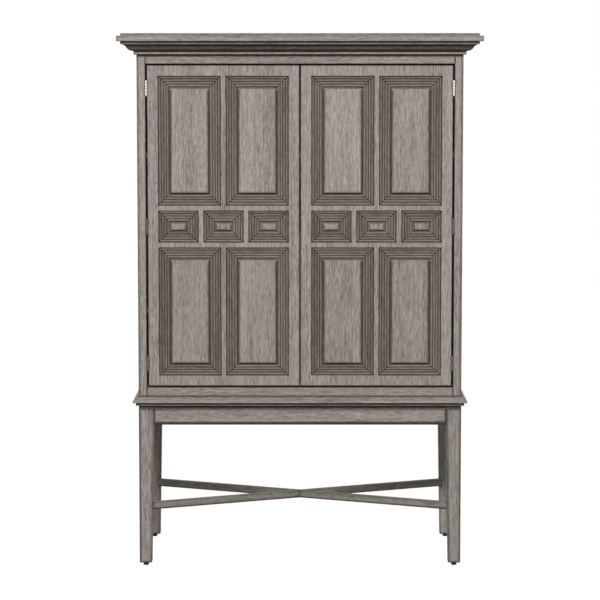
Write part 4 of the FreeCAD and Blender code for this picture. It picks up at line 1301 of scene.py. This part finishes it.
caseLeaves = bmesh.new()
hingePins = bmesh.new()
pinEnd = [(radius, hingeLook["height"] / 2 + height) for radius, height in scaled(hingeLook["pinTip"])]
pinOutline = pinEnd + [(radius, -height) for radius, height in pinEnd[::-1]]
for side, sign in sideSigns.items():
    doorLeaves = bmesh.new()
    for pin in pinPlaces[side]:
        addLeaf(caseLeaves, pin, sign, hingeLook["knuckles"]["case"])
        addLeaf(doorLeaves, pin, -sign, hingeLook["knuckles"]["door"])
        noteLeafScrews(pin, sign, "cabinet")
        noteLeafScrews(pin, -sign, f"{side}_door")
        addLathed(hingePins, pinOutline, hingeLook["steps"], Matrix.Translation(pin))
    addHingeWork(f"hinge_door_leaves_{side}", doorLeaves, f"{side}_door")
addHingeWork("hinge_case_leaves", caseLeaves, "cabinet")
addHingeWork("hinge_pins", hingePins, "cabinet")


# Feet

footLook = {
    "pad": [
        (0, 0), (7.3, 0), (8.1, 0.35), (8.5, 1.1), (8.5, 3), (8.15, 3.3), (8.15, 3.9), (8.5, 4.2),
        (8.5, 5.6), (8.15, 5.9), (8.15, 6.5), (8.5, 6.8), (8.5, 9.3), (8.2, 9.9), (3.4, 9.9)],
    "threadStart": 10.6,
    "threadRadius": 4,
    "threadDepth": 0.55,
    "threadPitch": 1.25,
    "plainEnd": 1.6,
    "chamfer": 0.9,
    "steps": 40,
}


def footOutline(look, top):
    # The pad and then the threaded stem, up to a chamfered end.
    outline = list(look["pad"])
    level, radius = look["threadStart"], look["threadRadius"]
    while level < top - look["plainEnd"]:
        outline += [(radius, level), (radius - look["threadDepth"], level + look["threadPitch"] / 2)]
        level += look["threadPitch"]
    return scaled([*outline, (radius - look["chamfer"], top), (0, top)])


for corner in corners:
    node = f"foot_{corner}"
    low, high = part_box(node)
    middle = Vector(((low.x + high.x) / 2, (low.y + high.y) / 2, low.z))
    shape = bmesh.new()
    outline = footOutline(footLook, (high.z - low.z) / mm)
    addLathed(shape, outline, footLook["steps"], Matrix.Translation(middle))
    finishNode(node, smoothMesh(f"{node}_mesh", shape), f"{corner}_foot", blackRubber)


# Latches, strike plates and inserts

latchLook = {
    "plungerTip": [
        (0, 0), (1.8, 0.15), (3.0, 0.7), (3.7, 1.7), (4, 3), (4, 9), (3.6, 9.4), (3.6, 10), (4, 10.4)],
    "plungerRadius": 4,
    "plungerChamfer": 0.5,
    "plungerSteps": 32,
    "plateEase": 0.25 * mm,
    "plateScrews": (4.5 * mm, 13 * mm),
    "plateScrewRadius": 2.4 * mm,
    "housingEase": 0.7 * mm,
    "insertEase": 0.3 * mm,
}

for side in sideSigns:
    node = f"latch_plunger_{side}"
    low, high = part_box(node)
    length = (high.y - low.y) / mm
    radius, chamfer = latchLook["plungerRadius"], latchLook["plungerChamfer"]
    outline = [
        *latchLook["plungerTip"], (radius, length - chamfer), (radius - chamfer, length), (0, length)]
    place = setAt(((low.x + high.x) / 2, low.y, (low.z + high.z) / 2), xAxis, zAxis, yAxis)
    shape = bmesh.new()
    addLathed(shape, scaled(outline), latchLook["plungerSteps"], place)
    finishNode(node, smoothMesh(f"{node}_mesh", shape), f"{side}_plunger", blackPlastic)
    plate = f"strike_plate_{side}"
    finishNode(plate, easedMesh(plate, latchLook["plateEase"]), f"{side}_door", zincSteel)
    low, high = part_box(plate)
    spots = [((low.x + high.x) / 2, high.y, low.z + up) for up in latchLook["plateScrews"]]
    noteScrews(f"{side}_door", spots, yAxis, latchLook["plateScrewRadius"])
housings = easedMesh("latch_housings", latchLook["housingEase"])
finishNode("latch_housings", housings, "cabinet", blackPlastic)
inserts = easedMesh("foot_inserts", latchLook["insertEase"])
finishNode("foot_inserts", inserts, "cabinet", zincSteel)
print("metalwork ready")


# Screws

screwLook = {"Recess width": 0.26, "Recess reach": 0.62, "Head height": 0.3 * mm, "Seed": 7}
backScrews = {"margin": 12 * mm, "sideMargin": 9 * mm, "topMargin": 10 * mm, "up": 7, "across": 5,
              "acrossReach": 320 * mm, "radius": 3.2 * mm}
underScrews = {  # each part's radius, and how far before and behind its middle
    "corner_blocks": (4.5 * mm, [0]),
    "stemware_rails": (2.8 * mm, [-150 * mm, 150 * mm]),
}


def screwTree():
    # A countersunk head with a cross recess on each point, turned to its "facing".
    tree, start, given = geometryTree("screwHeads", {
        "Float": ["Recess width", "Recess reach", "Head height"], "Int": ["Seed"], "Material": ["Material"]})
    headDepth, bladeDepth, bladeLevel = 0.35, 0.5, 0.38
    head = start.node("GeometryNodeMeshCone", {"fill_type": "NGON"}, {
        "Vertices": 18, "Side Segments": 1, "Radius Top": 0.8, "Radius Bottom": 1.0,
        "Depth": headDepth}, "Mesh")
    length, width = given["Recess reach"] * 2, given["Recess width"]
    for size in (start.vector(length, width, bladeDepth), start.vector(width, length, bladeDepth)):
        blade = start.node("GeometryNodeMeshCube", {}, {"Size": size}, "Mesh")
        blade = start.node("GeometryNodeTransform", {}, {
            "Geometry": blade, "Translation": (0, 0, bladeLevel)})
        head = start.node("GeometryNodeMeshBoolean", {"operation": "DIFFERENCE", "solver": "EXACT"}, {
            0: head, 1: blade}, "Mesh")
    facing = start.node("FunctionNodeAlignRotationToVector", {"axis": "Z"}, {
        "Vector": start.named("facing", "FLOAT_VECTOR")})
    spin = start.node("FunctionNodeRandomValue", {"data_type": "FLOAT"}, {
        2: 0.0, 3: math.pi, "Seed": given["Seed"]}, 1)
    spun = start.node("FunctionNodeAxisAngleToRotation", {}, {"Axis": (0, 0, 1), "Angle": spin})
    rotation = start.node("FunctionNodeRotateRotation", {"rotation_space": "LOCAL"}, {
        "Rotation": facing, "Rotate By": spun})
    radius = start.named("headRadius")
    points = start.node("GeometryNodeMeshToPoints", {}, {"Mesh": given["Geometry"]})
    heads = start.node("GeometryNodeInstanceOnPoints", {}, {
        "Points": points, "Instance": head, "Rotation": rotation,
        "Scale": start.vector(radius, radius, given["Head height"] / headDepth)})
    closeTree(start, heads, given["Material"])
    return tree


def screwSeeds(name, screws):
    spots, facings, radii = zip(*screws)
    seeds = bpy.data.meshes.new(name)
    seeds.from_pydata(spots, [], [])
    writeAttribute(seeds, "facing", facings, "FLOAT_VECTOR")
    writeAttribute(seeds, "headRadius", radii)
    return seeds


def spread(start, end, count):
    return [start + (end - start) * step / (count - 1) for step in range(count)]


def noteBackScrews(look):
    # A row down each side of the back panel, and one along its top and its bottom.
    low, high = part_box("back_panel")
    face = high.y + planks["back"]["shift"][1]
    levels = spread(low.z + look["margin"], high.z - look["margin"], look["up"])
    sides = spread(-look["acrossReach"], look["acrossReach"], look["across"])
    for x in (low.x + look["sideMargin"], high.x - look["sideMargin"]):
        noteScrews("cabinet", [(x, face, z) for z in levels], yAxis, look["radius"])
    for z in (low.z + look["margin"], high.z - look["topMargin"]):
        noteScrews("cabinet", [(x, face, z) for x in sides], yAxis, look["radius"])


def noteUnderScrews(node, radius, ends):
    # Screws from below, into each loose part of a node.
    mesh = closeShape(mergedCopy(node), "blocks")
    for part in islands(mesh):
        middle = middleOf(mesh, part)
        under = min(mesh.vertices[number].co.z for number in part)
        noteScrews("cabinet", [(middle.x, middle.y + end, under) for end in ends], -zAxis, radius)
    bpy.data.meshes.remove(mesh)


noteBackScrews(backScrews)
for node, (radius, ends) in underScrews.items():
    noteUnderScrews(node, radius, ends)
screwHeads = screwTree()
for body, screws in screwSpots.items():
    seeds = screwSeeds(f"{body}_screws_seeds", screws)
    mesh = grownMesh(f"{body}_screws_mesh", screwHeads, dict(screwLook, Material=zincSteel), seeds)
    addPiece(f"{body}_screws", mesh, body, zincSteel)
print("screws ready:", sum(len(screws) for screws in screwSpots.values()))


# Camera, light and floor

cameraLook = {
    "imageWidth": 600,
    "focalPixels": 2426,
    "sensorWidth": 36,
    "eyeHeight": 1.592,
    "distance": 7.45,
    "pitch": 5.81,
}
lightLook = {
    "frontWorld": 0.24,
    "backWorld": 0.75,
    "keyPower": 1310,
    "keySize": 2.5,
    "keyPlace": (-0.9, -11, 7.5),
    "aim": (0, 0, 0.9),
}
floorLook = {
    "colour": paint(150, 149, 147),
    "cloudColour": paint(214, 213, 211),
    "cloudShare": 0.1,
    "cloudScale": 1.3,
    "size": 9,
    "cameraShare": 0.75,
    "cameraWhite": 1.3,
}


def makeCamera(look):
    lens = bpy.data.cameras.new("camera")
    lens.sensor_width = look["sensorWidth"]
    lens.lens = look["focalPixels"] / look["imageWidth"] * look["sensorWidth"]
    lens.clip_end = 100
    camera = linkedObject("camera", lens)
    camera.location = (0, caseBox[0].y - look["distance"], look["eyeHeight"])
    camera.rotation_euler = (math.radians(90 - look["pitch"]), 0, 0)
    bpy.context.scene.camera = camera


def makeKeyLamp(look):
    lamp = bpy.data.lights.new("keyLamp", "AREA")
    lamp.shape = "DISK"
    lamp.size = look["keySize"]
    lamp.energy = look["keyPower"]
    holder = linkedObject("keyLamp", lamp)
    holder.location = look["keyPlace"]
    beam = Vector(look["aim"]) - Vector(look["keyPlace"])
    holder.rotation_euler = beam.to_track_quat("-Z", "Y").to_euler()


def seenShare(start):
    # 1 for what the camera sees, straight or in a gloss or glass, and 0 for light on the object.
    straight, glossy, through = (
        start.node("ShaderNodeLightPath", {}, {}, ray)
        for ray in ("Is Camera Ray", "Is Glossy Ray", "Is Transmission Ray")
    )
    return straight.atLeast(glossy).atLeast(through)


def makeWorld(look):
    # Dim in front and brighter behind, and plain white where it is seen.
    world = bpy.data.worlds.new("studio")
    world.use_nodes = True
    world.node_tree.nodes.clear()
    start = Wire(world.node_tree)
    behind = start.node("ShaderNodeTexCoord", {}, {}, "Generated").along("Y").between(-0.4, 0.6)
    dim = look["frontWorld"] + behind * (look["backWorld"] - look["frontWorld"])
    strength = dim + seenShare(start) * (1 - dim)
    shader = start.node("ShaderNodeBackground", {}, {"Color": (1, 1, 1, 1), "Strength": strength})
    start.node("ShaderNodeOutputWorld", {}, {"Surface": shader})
    bpy.context.scene.world = world


def makeFloor(look):
    material, start = startMaterial("studioFloor")
    cloud = start.objectPlace().noise(look["cloudScale"])
    colour = (cloud * look["cloudShare"]).mix(look["colour"], look["cloudColour"])
    lit = start.node("ShaderNodeBsdfDiffuse", {}, {"Color": colour, "Roughness": 0.5})
    white = start.node("ShaderNodeEmission", {}, {"Color": (1, 1, 1, 1), "Strength": look["cameraWhite"]})
    share = seenShare(start) * look["cameraShare"]
    both = start.node("ShaderNodeMixShader", {}, {0: share, 1: lit, 2: white})
    start.node("ShaderNodeOutputMaterial", {}, {"Surface": both})
    shape = bmesh.new()
    bmesh.ops.create_circle(shape, cap_ends=True, segments=96, radius=look["size"])
    mesh = closeShape(shape, "floor")
    mesh.materials.append(material)
    linkedObject("floor", mesh)


makeCamera(cameraLook)
makeKeyLamp(lightLook)
makeWorld(lightLook)
makeFloor(floorLook)
bpy.context.scene.view_settings.view_transform = "Standard"
print("studio ready")
